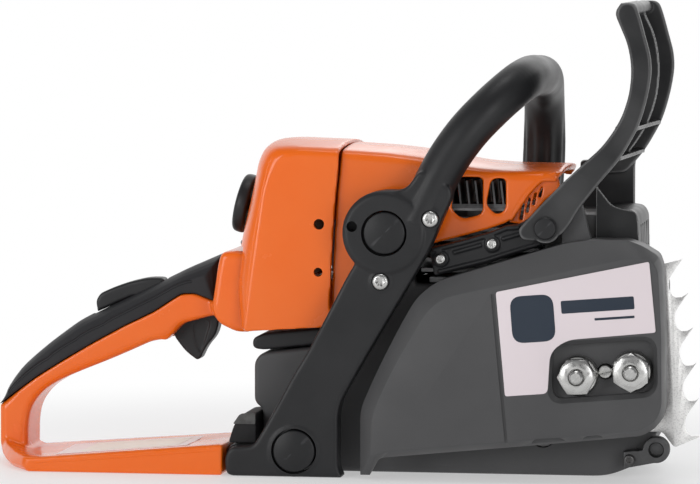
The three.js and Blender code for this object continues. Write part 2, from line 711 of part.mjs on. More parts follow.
function handleGrip() {
  const upper = [...GRIP_TOP, ...shifted(UNDER_GRIP, 0, GAP)];
  let body = slab(upper, HANDLE.right - 0.6, HANDLE.left + 0.6, 0);
  body = cut(body, slab(TANK_SIDE, -39, 41).add(box(-78.4, -60, -30, 30, 80, 140)));
  body = cut(body, box(-155, -106, -10.2, 4.2, 80, 130), box(-110, -76, -10.2, 4.2, 70, 103.5));
  return cut(body, rod(LOCKOUT_PIVOT, 2.9, -13.5, 7.5, 14));
}
add("handle_grip", handleGrip(), black);
function throttleLockout() {
  const side = [
    [-151.5, 89.6], [-152.5, 96, 2], [-150, 100.5, 3], [-131, 108, 4], [-117, 110.6, 4],
    [-110.6, 109.5, 2], [-108.6, 100, 2], [-116, 97, 2], [-130, 99, 2],
  ];
  return join(
    slab(side, TRIGGER_Y.right, TRIGGER_Y.left),
    rod(LOCKOUT_PIVOT, 2.4, -13, 7, 14),
  ); // on its own stub axle
}
add("throttle_lockout", throttleLockout(), black);
function throttleTrigger() {
  const side = [
    [-77.6, 84, 3], [-77.4, 92, 4], [-82, 94.5, 4], [-100, 88.5, 4], [-105.5, 79, 2], [-104.5, 75, 2],
    [-98, 66.5, 3], [-91, 61.4, 1.5], [-88.8, 62.5, 1.5], [-85.5, 69.5, 5], [-79.5, 76.5, 3],
  ];
  return join(
    slab(side, TRIGGER_Y.right, TRIGGER_Y.left),
    rod(TRIGGER_PIVOT, 2.4, -13, 7, 14),
  ); // on its own stub axle
}
add("throttle_trigger", throttleTrigger(), black);
function twistLock() {
  const knob = join(
    rod({ x: 0, z: 0 }, 18, 1.6, 7.5, 32, 17),
    cut(box(-16.5, 16.5, 7.3, 12, -3.4, 3.4)),
    rod({ x: 0, z: 0 }, 4.4, -8, 4, 16),
    box(-7, 7, -10, -7.8, -3, 3),
  );
  return moved(knob, lockFrame());
}
add("twist_lock", twistLock(), black);
function controlLever() {
  const side = [
    [-66, 108, 4], [-58, 108, 4], [-57.5, 116, 3], [-64, 124, 2], [-75, 134, 3], [-79, 131.5, 2],
    [-71, 121, 2],
  ];
  return join(slab(side, 44, 50.5), rod(LEVER, 3.2, 35, 45, 16));
}
add("control_lever", controlLever(), black);
const cap = (c, y) => {
  let body = join(rod(c, 15.5, y + GAP, y + 8, 28), rod(c, 10.8, y - 8, y + 1, 20));
  return body.add(box(c.x - 13, c.x + 13, y + 7.5, y + 11.5, c.z - 2, c.z + 2));
};
add("fuel_cap", cap(FUEL_CAP, 40), black);
add("oil_cap", cap(OIL_CAP, HOUSING.left), black);

// ---- intake --------------------------------------------------------------------------------------
add(
  "intake_manifold",
  cut(
    join(rodX(24, 43.6, 0, PORT_Z, 12, 16), box(20.4, 24.5, -16, 16, 117, 145)),
    rodX(15, 50, 0, PORT_Z, 8, 16),
  ),
  rubber,
);
add(
  "carburettor",
  cut(
    join(
      box(-8, 20, -18, 18, 116, 146),
      rodX(-14, -7, 0, PORT_Z, 13, 20),
      rod({ x: 6, z: 124 }, 3, -26, 24, 12),
      rodZ(6, 0, 113.5, 150, 11, 16),
    ),
    rodX(-20, 30, 0, PORT_Z, 7.5, 16),
  ),
  aluminium,
);
function airFilter() {
  let body = cut(box(-43, -15.5, -30, 30, 116, 172), rodX(-20, -14, 0, PORT_Z, 14, 16));
  for (let i = 0; i < 9; i++) body = cut(body, box(-45, -38, -27 + 6.4 * i, -24 + 6.4 * i, 119, 169));
  return body;
}
add("air_filter", airFilter(), foam);

// ---- muffler -------------------------------------------------------------------------------------
const MUFFLER_SIDE = [
  [119, 113.5, 2], [129, 122.4, 2], [158, 127.6, 3], [171, 126, 3], [171, 147, 6], [164, 153, 4],
  [126, 153, 4], [119, 148, 4],
];
add(
  "muffler",
  cut(
    slab(MUFFLER_SIDE, -34, 31),
    slab(inset(MUFFLER_SIDE, -1.6), -32.4, 29.4),
    rodX(165, 175, -9.5, 141, 5, 16),
    rodX(117, 124, 0, PORT_Z, 9, 16),
  ),
  darkSteel,
);
function mufflerGuard() {
  const outer = slab(
    [
      [150, 154, 2], [163, 155.6, 4], [172, 154.5, 5], [175, 150, 4], [175.5, 128], [172, 127],
      [172, 148, 6], [164, 153.4, 4], [150, 153.6],
    ],
    -35, 33,
  );
  const flank = slab(
    [
      [150.5, 169.5], [150.5, 130], [175.5, 128.5], [175.5, 137.8], [174.5, 152.3, 2], [172.8, 154.8, 2],
      [168.7, 155.2], [164.1, 156.3], [159.2, 158, 3], [152.4, 166.6],
    ],
    -37.4,
    -34.9,
  );
  const slots = [-24, -12, 0, 12, 22].map((y) => box(160, 180, y, y + 5, 131, 146));
  return join(cut(outer, ...slots), flank);
}
add("muffler_guard", mufflerGuard(), black);

// ---- chain brake lever (front hand guard) --------------------------------------------------------
const GUARD_FRONT = [
  [175, 275.5], [178, 267], [181, 256], [184, 245], [184.6, 236], [183, 225], [180, 213], [176.5, 203],
  [167.5, 187], [156, 173.6],
];
const GUARD_BACK = [
  [133, 171.5], [147, 184.5], [156, 192.5], [163, 202], [168, 211], [171.8, 223], [173, 234],
  [172.6, 243], [170.5, 253], [166.5, 262], [163.8, 270], [167, 275.6],
];
const RIGHT_ARM = [
  [GUARD_PIVOT.x - 16, 145, 3],
  [GUARD_PIVOT.x - 14, 139.5, 3],
  [118, 138.6, 4],
  [132, 141, 4],
  [138, 148, 4],
  [143, 157, 2],
  [156, 173.6],
  [165, 184],
  [160, 194],
  [147, 184.5],
  [133, 171.5],
  [118, 156, 4],
];
function handGuard() {
  const sideWall = [...GUARD_FRONT, ...GUARD_BACK];
  const farWall = [...shifted(GUARD_FRONT, GUARD_SPLAY, 0), ...GUARD_BACK];
  const skin = slab(
    [...GUARD_BACK.slice(2).toReversed(), ...shifted(GUARD_BACK.slice(2), 3.2, -0.6)],
    GUARD_Y.right,
    GUARD_Y.left,
  );
  const middle = slab(
    [...GUARD_BACK.slice(2).toReversed(), ...shifted(GUARD_BACK.slice(2), 9, -1.6)],
    -18,
    -14,
  );
  const rightArm = slab(RIGHT_ARM, GUARD_Y.right, -59);
  const leftArm = slab(
    [
      [116, 138, 6], [112, 150, 6], [122, 166, 4], [133, 171, 1], [133.5, 180.2, 2], [143, 180.6, 2],
      [160, 199], [170, 199], [167, 188], [165.8, 177], [165.8, 150, 3], [150, 140, 6],
    ],
    GUARD_Y.left,
    43,
  );
  let body = join(
    slab(sideWall, GUARD_Y.right, -59),
    slab(farWall, GUARD_Y.left - 4, GUARD_Y.left + 0.1),
    skin,
    middle,
    rightArm,
    leftArm,
  );
  for (const [x, z] of [[162, 196], [170, 213]]) body = body.add(
    box(x, x + 7, -62, GUARD_Y.left - 2, z, z + 2.6),
  );
  return cut(body, rod(GUARD_PIVOT, 4.1, -70, -50, 16), rod(GUARD_PIVOT, 4.1, 30, 50, 16));
}
add("hand_guard", handGuard(), black);
add(
  "guard_pivot_right",
  join(rod(GUARD_PIVOT, 3.7, -67, -56.2, 16), rod(GUARD_PIVOT, 6.5, -69, -66.4, 18)),
  steel,
);
add(
  "guard_pivot_left",
  join(rod(GUARD_PIVOT, 3.7, 37.2, 50, 16), rod(GUARD_PIVOT, 6, 43.4, 50, 18)),
  steel,
);
const CARRIER = [
  [55, 132], [58, 116.8, 2], [88, 124, 1], [103, 129.3, 1], [122, 135.5, 2], [130, 140, 3],
  [131.6, 149, 3], [127, 154.5, 4], [118, 155, 5], [108, 147.5, 3], [100, 146.8], [90, 142.6], [74, 138],
  [57, 133.6],
];
add(
  "brake_carrier",
  cut(
    slab(CARRIER, -56, -46),
    rod(CARRIER_SCREWS[0], 2.7, -60, -40, 12),
    rod(CARRIER_SCREWS[1], 2.7, -60, -40, 12),
  ),
  black,
);
CARRIER_SCREWS.forEach((c, i) => {
  const screw = join(rod(c, 3.2, -58.4, -56.3, 14), rod(c, 2.3, -57, -45, 12));
  add("carrier_screw_" + (i + 1), screw, steel);
});

// ---- handlebar with right-hand frame -------------------------------------------------------------
const FRAME_SIDE = [
  [29, 168, 8], [13, 161, 8], [5.5, 147, 8], [9, 135, 4], [15, 127, 3], [8.5, 116], [0.5, 100.5],
  [-13.5, 74], [-23, 58.5], [-33, 40], [-41, 26], [-46, 18, 2],
  [-52, 17, 2], [-60, 17, 3], [-63.3, 10, 3], [-62, 0, 3], [6.5, 0, 1], [4, 6, 2], [4, 42, 3], [18, 67],
  [34, 94], [49, 119], [58, 135, 4], [66, 154, 4], [72, 168, 4], [52, 180, 4], [43, 167, 6],
];
const TUBE_PATH = [
  [48, -60, 148], [56, -59, 165], [66, -58.5, 184], [78, -57, 201], [92, -52, 216], [103, -40, 226.5],
  [108, -18, 231],
  [109, 20, 231], [108, 62, 228], [106, 86, 218], [105, 98, 198], [104, 101, 172], [101, 101, 140],
  [94, 99, 104],
  [82, 96, 70], [68, 93.5, 42], [60, 92.8, 26],
];
function handlebar() {
  const end = -65;
  const plate = slab(FRAME_SIDE, FRAME.face, FRAME.back);
  const hollow = slab(
    [
      [12, 110, 3], [2, 88, 3], [-12, 62, 3], [-30, 30, 3], [-8, 28, 3], [0, 34, 3], [0, 45, 3],
      [14, 69, 3], [30, 97, 3], [36, 108, 3], [24, 104, 3],
    ],
    FRAME.face + 8,
    FRAME.back + 1,
  );
  const foot = slab([[44, 14, 6], [44, 34, 6], [58, 42, 8], [72, 34, 6], [72, 14, 6]], 80.5, 92);
  const crossPiece = slab(
    [[end + 0.5, 0], [end + 0.5, 13, 2], [-62, 16.6, 2], [-47, 16.6, 2], [-46.6, 0]],
    FRAME.back - 1,
    12,
  );
  let body = join(
    cut(plate, hollow),
    crossPiece,
    tube(TUBE_PATH, TUBE_R, 16, 34),
    rod(AV_UPPER, 23, FRAME.face - 1.5, FRAME.back, 36),
    rod(AV_UPPER, 24.6, FRAME.face, FRAME.back, 36),
    foot,
  );
  body = join(body, rod(AV_LOWER, 15, FRAME.face - 0.6, FRAME.back, 28));
  return cut(
    body,
    rod(AV_UPPER, AV_UPPER.r + 0.3, -80, FRAME.back + 5, 28),
    rod(AV_LOWER, AV_LOWER.r + 0.3, -80, FRAME.back + 5, 28),
    rod({ x: 12.3, z: 146.3 }, 2.6, -80, -40, 14),
    rod(FRAME_SCREWS[0], 2.7, -80, -40, 14),
    rod(FRAME_SCREWS[1], 2.7, -80, -40, 14),
    rod(AV_LEFT, 4.6, 70, 93, 14),
    rod(AV_LEFT, 8.6, 91.9, 110, 18),
    rod(FRAME_SCREWS[0], 5.4, -90, FRAME.face + 0.2, 14),
    rod(FRAME_SCREWS[1], 5.4, -90, FRAME.face + 0.2, 14),
  );
}
add("handlebar", handlebar(), black);
add(
  "av_plug_upper",
  cut(rod(AV_UPPER, AV_UPPER.r, -70.4, -60, 28), rod(AV_UPPER, 8.6, -71, -68.6, 20)),
  black,
);
add(
  "av_plug_lower",
  cut(rod(AV_LOWER, AV_LOWER.r, -70.4, -60, 28), rod(AV_LOWER, 8.6, -71, -68.6, 20)),
  black,
);
for (const [name, c] of [["av_buffer_upper", AV_UPPER], ["av_buffer_lower", AV_LOWER]])
  add(
    name,
    join(
      rod(c, 11, -59.6, -52, 20),
      rod(c, 9, -53, -46, 20),
      rod(c, 11, -47, HOUSING.right - GAP, 20),
      rod(c, 3.9, -40, -30, 12),
    ),
    rubber,
  );
add(
  "av_buffer_left",
  join(
    rod(AV_LEFT, 4, 66, 95, 12),
    rod(AV_LEFT, 10, 73, 80.1, 20),
    rod(AV_LEFT, 8, 92.3, 95, 18),
  ),
  rubber,
);
FRAME_SCREWS.forEach((c, i) => {
  const screw = join(rod(c, 4.7, -72.4, -70.1, 18), rod(c, 2.4, -71, -47, 12));
  add("frame_screw_" + (i + 1), screw, steel);
});
add(
  "rear_stop",
  slab([[-63.5, 17.6, 2], [-60, 28.5, 2], [-56, 34.5, 2], [-47, 35, 1], [-47, 17.6, 1]], -55, -14),
  rubber,
);

// ---- starter -------------------------------------------------------------------------------------
const STARTER_SIDE = [
  [30, 30], [38, 14], [56, 6], [90, 4], [118, 10], [132, 24], [138, 46], [139, 80], [139, 112],
  [136, 124], [122, 128], [96, 126], [70, 122], [48, 112], [34, 92], [27, 60],
];
const towards = (points, c, k) => points.map(([x, z]) => [c.x + (x - c.x) * k, c.z + (z - c.z) * k]);
function starterCover() {
  const outer = layers(
    [
      [HOUSING.left + GAP, STARTER_SIDE],
      [70, STARTER_SIDE],
      [75, towards(STARTER_SIDE, CRANK, 0.95)],
      [78, towards(STARTER_SIDE, CRANK, 0.84)],
    ],
  );
  const inner = layers(
    [
      [HOUSING.left - 1, inset(STARTER_SIDE, -WALL)],
      [69.5, inset(STARTER_SIDE, -WALL)],
      [72.6, towards(inset(STARTER_SIDE, -WALL), CRANK, 0.95)],
      [75.4, towards(inset(STARTER_SIDE, -WALL), CRANK, 0.84)],
    ],
  );
  let body = join(
    cut(outer, inner),
    rod(CRANK, 6, 52, 77, 16),
    rod(AV_LEFT, 12.6, 66, 77.6, 20),
  );
  for (let i = 0; i < 14; i++) {
    const a = (i * 2 * Math.PI) / 14 + 0.2;
    const slot = slab([[24, -2.4], [41, -3.6, 2], [41, 3.6, 2], [24, 2.4]], 72, 80);
    body = cut(body, moved(slot, new THREE.Matrix4().makeRotationY(a).setPosition(CRANK.x, 0, CRANK.z)));
  }
  return cut(
    body,
    rodZ(ROPE.x, ROPE.y, 110, 140, 3, 14),
    rod(AV_LEFT, 10.6, 72.6, 80, 20),
    rod(AV_LEFT, 4.4, 60, 80, 12),
  );
}
add("starter_cover", starterCover(), grey);
function starterPulley() {
  return cut(
    join(
      rod(CRANK, PULLEY_R - 2, 52.5, 64, 28),
      rod(CRANK, PULLEY_R + 3, 52.5, 54.5, 32),
      rod(CRANK, PULLEY_R + 3, 62, 64, 32),
    ),
    rod(CRANK, 6.5, 50, 66, 18),
  );
}
add("starter_pulley", starterPulley(), black);
add("recoil_spring", cut(rod(CRANK, 23, 66, 71, 28), rod(CRANK, 6.8, 64, 73, 16)), steel);
add("starter_rope", rodZ(ROPE.x, ROPE.y, 112, 139, ROPE_R, 10), foam);
function starterGrip() {
  const head = slab(
    [[ROPE.x - 22, 140, 4], [ROPE.x + 22, 140, 4], [ROPE.x + 19, 150, 5], [ROPE.x - 19, 150, 5]],
    ROPE.y - 7,
    ROPE.y + 7,
  );
  return join(head, rodZ(ROPE.x, ROPE.y, 131.4, 141, 7, 16));
}
add("starter_grip", cut(starterGrip(), rodZ(ROPE.x, ROPE.y, 130, 145, 2.3, 12)), black);

group.position.set(-FOOTPRINT.x, -FOOTPRINT.y, 0);
export default group;
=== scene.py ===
# Looks of the chainsaw power head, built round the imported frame. Shapes are written in millimetres on the
# engine's axes (y = 0 is the cylinder's centre plane, z = 0 the ground) and moved into the frame by point().
import json
from math import cos, exp, pi, radians, sin, sqrt

import bmesh
import bpy
from mathutils import Matrix, Vector


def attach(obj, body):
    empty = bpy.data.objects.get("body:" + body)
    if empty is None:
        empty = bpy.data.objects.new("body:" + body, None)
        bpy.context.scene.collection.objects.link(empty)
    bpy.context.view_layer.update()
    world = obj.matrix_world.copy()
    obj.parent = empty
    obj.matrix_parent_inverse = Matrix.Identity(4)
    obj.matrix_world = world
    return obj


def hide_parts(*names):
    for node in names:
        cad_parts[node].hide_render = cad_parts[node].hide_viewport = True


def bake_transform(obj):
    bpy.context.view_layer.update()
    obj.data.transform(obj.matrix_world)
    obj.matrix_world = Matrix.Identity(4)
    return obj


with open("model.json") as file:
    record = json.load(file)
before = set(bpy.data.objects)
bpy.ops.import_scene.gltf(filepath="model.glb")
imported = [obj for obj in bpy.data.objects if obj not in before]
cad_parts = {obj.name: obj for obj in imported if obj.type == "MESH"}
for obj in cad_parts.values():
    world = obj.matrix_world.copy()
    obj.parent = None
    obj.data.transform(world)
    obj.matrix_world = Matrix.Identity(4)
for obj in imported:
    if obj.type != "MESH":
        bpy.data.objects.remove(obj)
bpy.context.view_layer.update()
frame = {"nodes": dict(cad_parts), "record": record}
ROOT = "chassis"

# ---- dimensions, in millimetres
AXES = (1.5, 13.2)  # the frame's origin on the engine's axes
CRANK = (82, 58)
AV_UPPER, AV_LOWER = (31, 142.5), (-22, 15)
STUDS = [(144, 62), (175, 65)]
TENSION = (159.5, 64.5)
GUARD_PIVOT = (124, 146)
TRIGGER_PIVOT, LOCKOUT_PIVOT, LEVER = (-80, 90), (-113, 100), (-62, 112)
FUEL_CAP, OIL_CAP = (-26, 100), (158, 30)
LOCK = (-57, -5, 154)
LOCK_TILT = 0.24
ROPE = (131, 60)
TUBE_FOOT = (58, 26)  # where the handlebar's left end is screwed on
CARRIER_SCREWS = [(62, 127), (92, 136)]
FRAME_SCREWS = [(58, 151), (29, 114.5)]
FACE = -78  # sprocket cover's outer face
CATCHER_PIN, CATCHER_SCREW = (187, 17.3), (171.5, 11.3)
TUBE_RADIUS, TUBE_RIBS = 12.3, 10  # of the handlebar
NUT_CORNER = 19.6 / sqrt(3)  # from a nut's axis to its corners


def point(x, y, z):
    return Vector(((x - AXES[0]) / 1000, (y - AXES[1]) / 1000, z / 1000))


# ---- camera, floor and light
AIM = Vector((-0.0015, -0.0132, 0.13232))  # what the camera looks at, metres
AZIMUTH, ELEVATION, DISTANCE, LENS = 9, 4, 2.6, 225.1
PAPER_WHITE = (1.0, 1.0, 1.0)
WALL_GREY = (0.26, 0.26, 0.265)  # of the studio on the camera's side


def studio():
    scene = bpy.context.scene
    az, el = radians(AZIMUTH), radians(ELEVATION)
    back = Vector((sin(az) * cos(el), -cos(az) * cos(el), sin(el)))
    camera = bpy.data.objects.new("camera", bpy.data.cameras.new("camera"))
    camera.data.lens, camera.data.sensor_width = LENS, 36
    camera.location = AIM + back * DISTANCE
    camera.rotation_euler = back.to_track_quat("Z", "Y").to_euler()
    scene.collection.objects.link(camera)
    scene.camera = camera
    scene.view_settings.view_transform = "Standard"

    world = bpy.data.worlds.new("studio")
    world.use_nodes = True
    tree = world.node_tree
    ray, split, behind, sky = (tree.nodes.new(k) for k in (
        "ShaderNodeTexCoord", "ShaderNodeSeparateXYZ", "ShaderNodeMapRange", "ShaderNodeMix"))
    behind.interpolation_type = "SMOOTHSTEP"
    behind.inputs["From Min"].default_value, behind.inputs["From Max"].default_value = -0.1, 0.6
    sky.data_type = "RGBA"
    sky.inputs[6].default_value, sky.inputs[7].default_value = (*WALL_GREY, 1), (*PAPER_WHITE, 1)
    tree.links.new(ray.outputs["Generated"], split.inputs[0])
    tree.links.new(split.outputs["Y"], behind.inputs["Value"])
    tree.links.new(behind.outputs["Result"], sky.inputs[0])
    tree.links.new(sky.outputs[2], tree.nodes["Background"].inputs["Color"])
    scene.world = world

    bpy.ops.mesh.primitive_circle_add(vertices=96, radius=40, fill_type="NGON", location=(0, 0, -0.0002))
    floor = bpy.context.object
    floor.name = "floor"
    paper = bpy.data.materials.new("floor_paper")
    paper.use_nodes = True
    tree = paper.node_tree
    new, link = tree.nodes.new, tree.links.new
    shader, out = tree.nodes["Principled BSDF"], tree.nodes["Material Output"]
    shader.inputs["Base Color"].default_value = (0.9, 0.9, 0.905, 1)
    shader.inputs["Roughness"].default_value = 0.55
    glow = new("ShaderNodeEmission")
    glow.inputs["Color"].default_value = (*PAPER_WHITE, 1)
    place, away, fade, mix = (new(k) for k in (
        "ShaderNodeTexCoord", "ShaderNodeVectorMath", "ShaderNodeMapRange", "ShaderNodeMixShader"))
    away.operation = "LENGTH"
    fade.interpolation_type = "SMOOTHSTEP"
    fade.inputs["From Min"].default_value, fade.inputs["From Max"].default_value = 0.22, 0.5
    fade.inputs["To Min"].default_value = 0.42
    link(place.outputs["Object"], away.inputs[0])
    link(away.outputs["Value"], fade.inputs["Value"])
    link(fade.outputs["Result"], mix.inputs[0])
    link(shader.outputs[0], mix.inputs[1])
    link(glow.outputs[0], mix.inputs[2])
    link(mix.outputs[0], out.inputs["Surface"])
    floor.data.materials.append(paper)

    for name, place, size, power in (
        ("overhead", (0.1, -0.15, 1.5), (0.5, 0.5), 3.5), ("front_left", (-1.1, -1.6, 0.5), (0.9, 0.9), 13),
        ("front_right", (1.1, -1.6, 0.4), (0.7, 1.0), 9), ("behind", (0.3, 1.5, 0.9), (1.2, 0.8), 3),
        ("rim_strip", (-1.5, -0.55, 0.35), (0.08, 1.2), 1.6),
    ):
        lamp = bpy.data.lights.new(name, "AREA")
        lamp.shape, lamp.size, lamp.size_y, lamp.energy = "RECTANGLE", size[0], size[1], power
        obj = bpy.data.objects.new(name, lamp)
        obj.location = place
        obj.rotation_euler = (Vector(place) - AIM).to_track_quat("Z", "Y").to_euler()
        scene.collection.objects.link(obj)


studio()


# ---- shaping helpers
def made(name, verts, faces):
    mesh = bpy.data.meshes.new(name)
    mesh.from_pydata([point(*v) for v in verts], [], faces)
    bm = bmesh.new()
    bm.from_mesh(mesh)
    bmesh.ops.remove_doubles(bm, verts=bm.verts, dist=1e-6)
    bmesh.ops.recalc_face_normals(bm, faces=bm.faces)
    bm.to_mesh(mesh)
    bm.free()
    obj = bpy.data.objects.new(name, mesh)
    bpy.context.scene.collection.objects.link(obj)
    return obj


def outline(points, radius=0.0, steps=7):
    """An x-z outline with its corners rounded; a corner's third number is its own radius."""
    out = []
    for i, p in enumerate(points):
        here = Vector(p[:2])
        before, after = Vector(points[i - 1][:2]) - here, Vector(points[(i + 1) % len(points)][:2]) - here
        want = p[2] if len(p) > 2 else radius
        reach = min(want, before.length * 0.48, after.length * 0.48)
        if reach < 0.15:
            out.append(tuple(here))
            continue
        a, b = here + before.normalized() * reach, here + after.normalized() * reach
        for k in range(steps + 1):
            t = k / steps
            out.append(tuple(a * (1 - t) ** 2 + here * 2 * t * (1 - t) + b * t * t))
    return out


def area(points):
    return sum(a[0] * b[1] - b[0] * a[1] for a, b in zip(points, points[1:] + points[:1])) / 2


def inset(points, d):
    """An x-z outline moved inwards by d."""
    side = 1 if area(points) > 0 else -1
    out = []
    n = len(points)
    for i in range(n):
        p = Vector(points[i])
        a, b = Vector(points[i - 1]), Vector(points[(i + 1) % n])
        na, nb = (p - a), (b - p)
        if na.length < 1e-6 or nb.length < 1e-6:
            out.append(tuple(p))
            continue
        na, nb = Vector((-na.y, na.x)).normalized(), Vector((-nb.y, nb.x)).normalized()
        m = na + nb
        m = m / max(m.length_squared / 2, 0.5) if m.length > 1e-6 else na
        out.append(tuple(p + m * d * side))
    return out


def shrunk(corners, d):
    """Corner points moved inwards by d, each keeping its own radius."""
    moved = inset([c[:2] for c in corners], d)
    return [(*m, max(c[2] - d, 0.3)) if len(c) > 2 else m for m, c in zip(moved, corners)]


def lofted(name, rings):
    """A solid skinned through rings with the same number of points, closed at both ends."""
    n, last = len(rings[0]), len(rings) - 1
    faces = [(r * n + i, r * n + (i + 1) % n, (r + 1) * n + (i + 1) % n, (r + 1) * n + i)
             for r in range(last) for i in range(n)]
    faces += [tuple(range(n)), tuple(range(last * n, (last + 1) * n))]
    return made(name, [v for ring in rings for v in ring], faces)


def around(c, points):
    """An x-z outline written on its own centre, moved to c."""
    return [(c[0] + x, c[1] + z, *r) for x, z, *r in points]


def layers(name, rows):
    """A solid through closed x-z outlines, each at its own y, with the same number of points."""
    return lofted(name, [[(x, y, z) for x, z in pts] for y, pts in rows])


def quarter(radius, step=15):
    """(inwards, along) offsets of a rim rounded off by radius, from its face to its side."""
    turns = [radians(d) for d in range(0, 91, step)]
    return [(radius * (1 - sin(a)), radius * (1 - cos(a))) for a in turns]


def slab(name, points, y0, y1, radius=0.0, edge=0.0):
    """An x-z outline made solid from y0 to y1, its two rims rounded off by edge."""
    pts = outline(points, radius)
    if not edge:
        return layers(name, [(y0, pts), (y1, pts)])
    arc = quarter(edge)
    rows = [(y0 + out, inset(pts, ins)) for ins, out in arc]
    rows += [(y1 - out, inset(pts, ins)) for ins, out in reversed(arc)]
    return layers(name, rows)


def block(name, x0, x1, y0, y1, z0, z1, edge=0.0):
    return slab(name, [(x0, z0), (x1, z0), (x1, z1), (x0, z1)], y0, y1, edge, edge)


def turned(name, profile, centre=(0, 0), axis="y", sides=96, frame_matrix=None):
    """A solid of revolution through (x, z) or (x, y, z), from a list of (radius, along) from end to end."""
    spin = [2 * pi * (i + 0.5) / sides for i in range(sides)]
    place = {
        "y": lambda r, t, a: (r * cos(a), t, r * sin(a)),
        "x": lambda r, t, a: (t, r * cos(a), r * sin(a)),
        "z": lambda r, t, a: (r * cos(a), r * sin(a), t),
    }[axis]
    middle = Vector(centre if len(centre) == 3 else (centre[0], 0, centre[1]))
    rings = [[Vector(place(max(r, 1e-4), t, a)) for a in spin] for r, t in profile]
    return lofted(name,
                  [[tuple((frame_matrix @ p if frame_matrix else p) + middle) for p in ring] for ring in rings])


def rod(name, c, r, y0, y1, sides=96, soft=0.0):
    """A round bar along y at c = (x, z), with its two rims rounded off by soft."""
    arc = quarter(soft, 18) if soft else [(0, 0)]
    return turned(name, [(r - i, y0 + o) for i, o in arc] + [(r - i, y1 - o) for i, o in reversed(arc)],
                  c, "y", sides)


def catmull(path, step):
    """Points every step mm along a smooth line through path."""
    pts = [Vector(p) for p in path]
    pts = [2 * pts[0] - pts[1]] + pts + [2 * pts[-1] - pts[-2]]
    fine = []
    for i in range(1, len(pts) - 2):
        p0, p1, p2, p3 = pts[i - 1 : i + 3]
        t0, t1 = 0.0, (p1 - p0).length ** 0.5
        t2 = t1 + (p2 - p1).length ** 0.5
        t3 = t2 + (p3 - p2).length ** 0.5
        for k in range(40):
            t = t1 + (t2 - t1) * k / 40
            a1 = p0 * ((t1 - t) / (t1 - t0)) + p1 * ((t - t0) / (t1 - t0))
            a2 = p1 * ((t2 - t) / (t2 - t1)) + p2 * ((t - t1) / (t2 - t1))
            a3 = p2 * ((t3 - t) / (t3 - t2)) + p3 * ((t - t2) / (t3 - t2))
            b1 = a1 * ((t2 - t) / (t2 - t0)) + a2 * ((t - t0) / (t2 - t0))
            b2 = a2 * ((t3 - t) / (t3 - t1)) + a3 * ((t - t1) / (t3 - t1))
            fine.append(b1 * ((t2 - t) / (t2 - t1)) + b2 * ((t - t1) / (t2 - t1)))
    fine.append(pts[-2])
    length = [0.0]
    for a, b in zip(fine, fine[1:]):
        length.append(length[-1] + (b - a).length)
    count = max(2, round(length[-1] / step))
    out, k = [], 0
    for i in range(count + 1):
        want = length[-1] * i / count
        while k < len(length) - 2 and length[k + 1] < want:
            k += 1
        u = (want - length[k]) / max(length[k + 1] - length[k], 1e-9)
        out.append(fine[k].lerp(fine[k + 1], min(max(u, 0), 1)))
    return out


def tube(name, path, radius, sides=56, step=3.0, lobes=None):
    """A round bar along a smooth path. radius is a number or a function of the share of the way along;
    lobes(share, angle) adds to it, for ribs."""
    pts = catmull(path, step)
    tangents = [(pts[min(i + 1, len(pts) - 1)] - pts[max(i - 1, 0)]).normalized() for i in range(len(pts))]
    normal = Vector((0, 0, 1)).cross(tangents[0])
    normal = normal.normalized() if normal.length > 0.1 else Vector((1, 0, 0))
    rings = []
    for i, (p, t) in enumerate(zip(pts, tangents)):
        normal = (normal - t * normal.dot(t)).normalized()
        side, share = t.cross(normal), i / (len(pts) - 1)
        r = radius(share) if callable(radius) else radius
        rings.append([])
        for k in range(sides):
            a = 2 * pi * k / sides
            q = r + (lobes(share, a) if lobes else 0.0)
            rings[-1].append(tuple(p + normal * q * cos(a) + side * q * sin(a)))
    return lofted(name, rings)


def baked(obj):
    """The object with its modifiers applied."""
    deps = bpy.context.evaluated_depsgraph_get()
    mesh = bpy.data.meshes.new_from_object(obj.evaluated_get(deps))
    obj.modifiers.clear()
    obj.data = mesh
    return obj


def gone(objs):
    for o in objs:
        bpy.data.objects.remove(o, do_unlink=True)


def combined(obj, operation, tools):
    for t in tools:
        m = obj.modifiers.new("combine", "BOOLEAN")
        m.operation, m.solver, m.object = operation, "EXACT", t
    baked(obj)
    gone(tools)
    return obj


def cut(obj, *tools):
    return combined(obj, "DIFFERENCE", tools)


def kept_in(obj, *tools):
    return combined(obj, "INTERSECT", tools)


def fused(obj, *tools):
    return combined(obj, "UNION", tools)


def joined(obj, *others):
    """One object holding all the meshes; where they overlap, moulded() or fused() makes them one body."""
    bm = bmesh.new()
    for o in (obj, *others):
        bm.from_mesh(o.data)
    bm.to_mesh(obj.data)
    bm.free()
    gone(others)
    return obj


def moulded(obj, voxel, relax):
    """Makes the meshes one skin with slightly softened edges, as a moulding or casting has."""
    m = obj.modifiers.new("skin", "REMESH")
    m.mode, m.voxel_size = "VOXEL", voxel / 1000
    s = obj.modifiers.new("relax", "SMOOTH")
    s.factor, s.iterations = 0.5, relax
    baked(obj)
    obj.data.shade_smooth()
    return obj


def bevelled(obj, width=0.4, segments=3, angle=28):
    """Machined edges: a small bevel and flat faces."""
    m = obj.modifiers.new("bevel", "BEVEL")
    m.width, m.segments, m.limit_method, m.angle_limit = width / 1000, segments, "ANGLE", radians(angle)
    return crisp(baked(obj), 42)


def crisp(obj, angle=50):
    """Smooth faces that meet at a sharp edge where they turn by more than angle degrees."""
    obj.data.shade_smooth()
    obj.data.set_sharp_from_angle(angle=radians(angle))
    return obj


def finished(obj, material, body=ROOT, node=None):
    """Gives a piece its material and body. It stands for the CAD node given, or for its namesake."""
    obj.data.materials.clear()
    obj.data.materials.append(material)
    node = node or obj.name.split(".")[0]
    if node in frame["nodes"]:
        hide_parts(node)
    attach(obj, body)


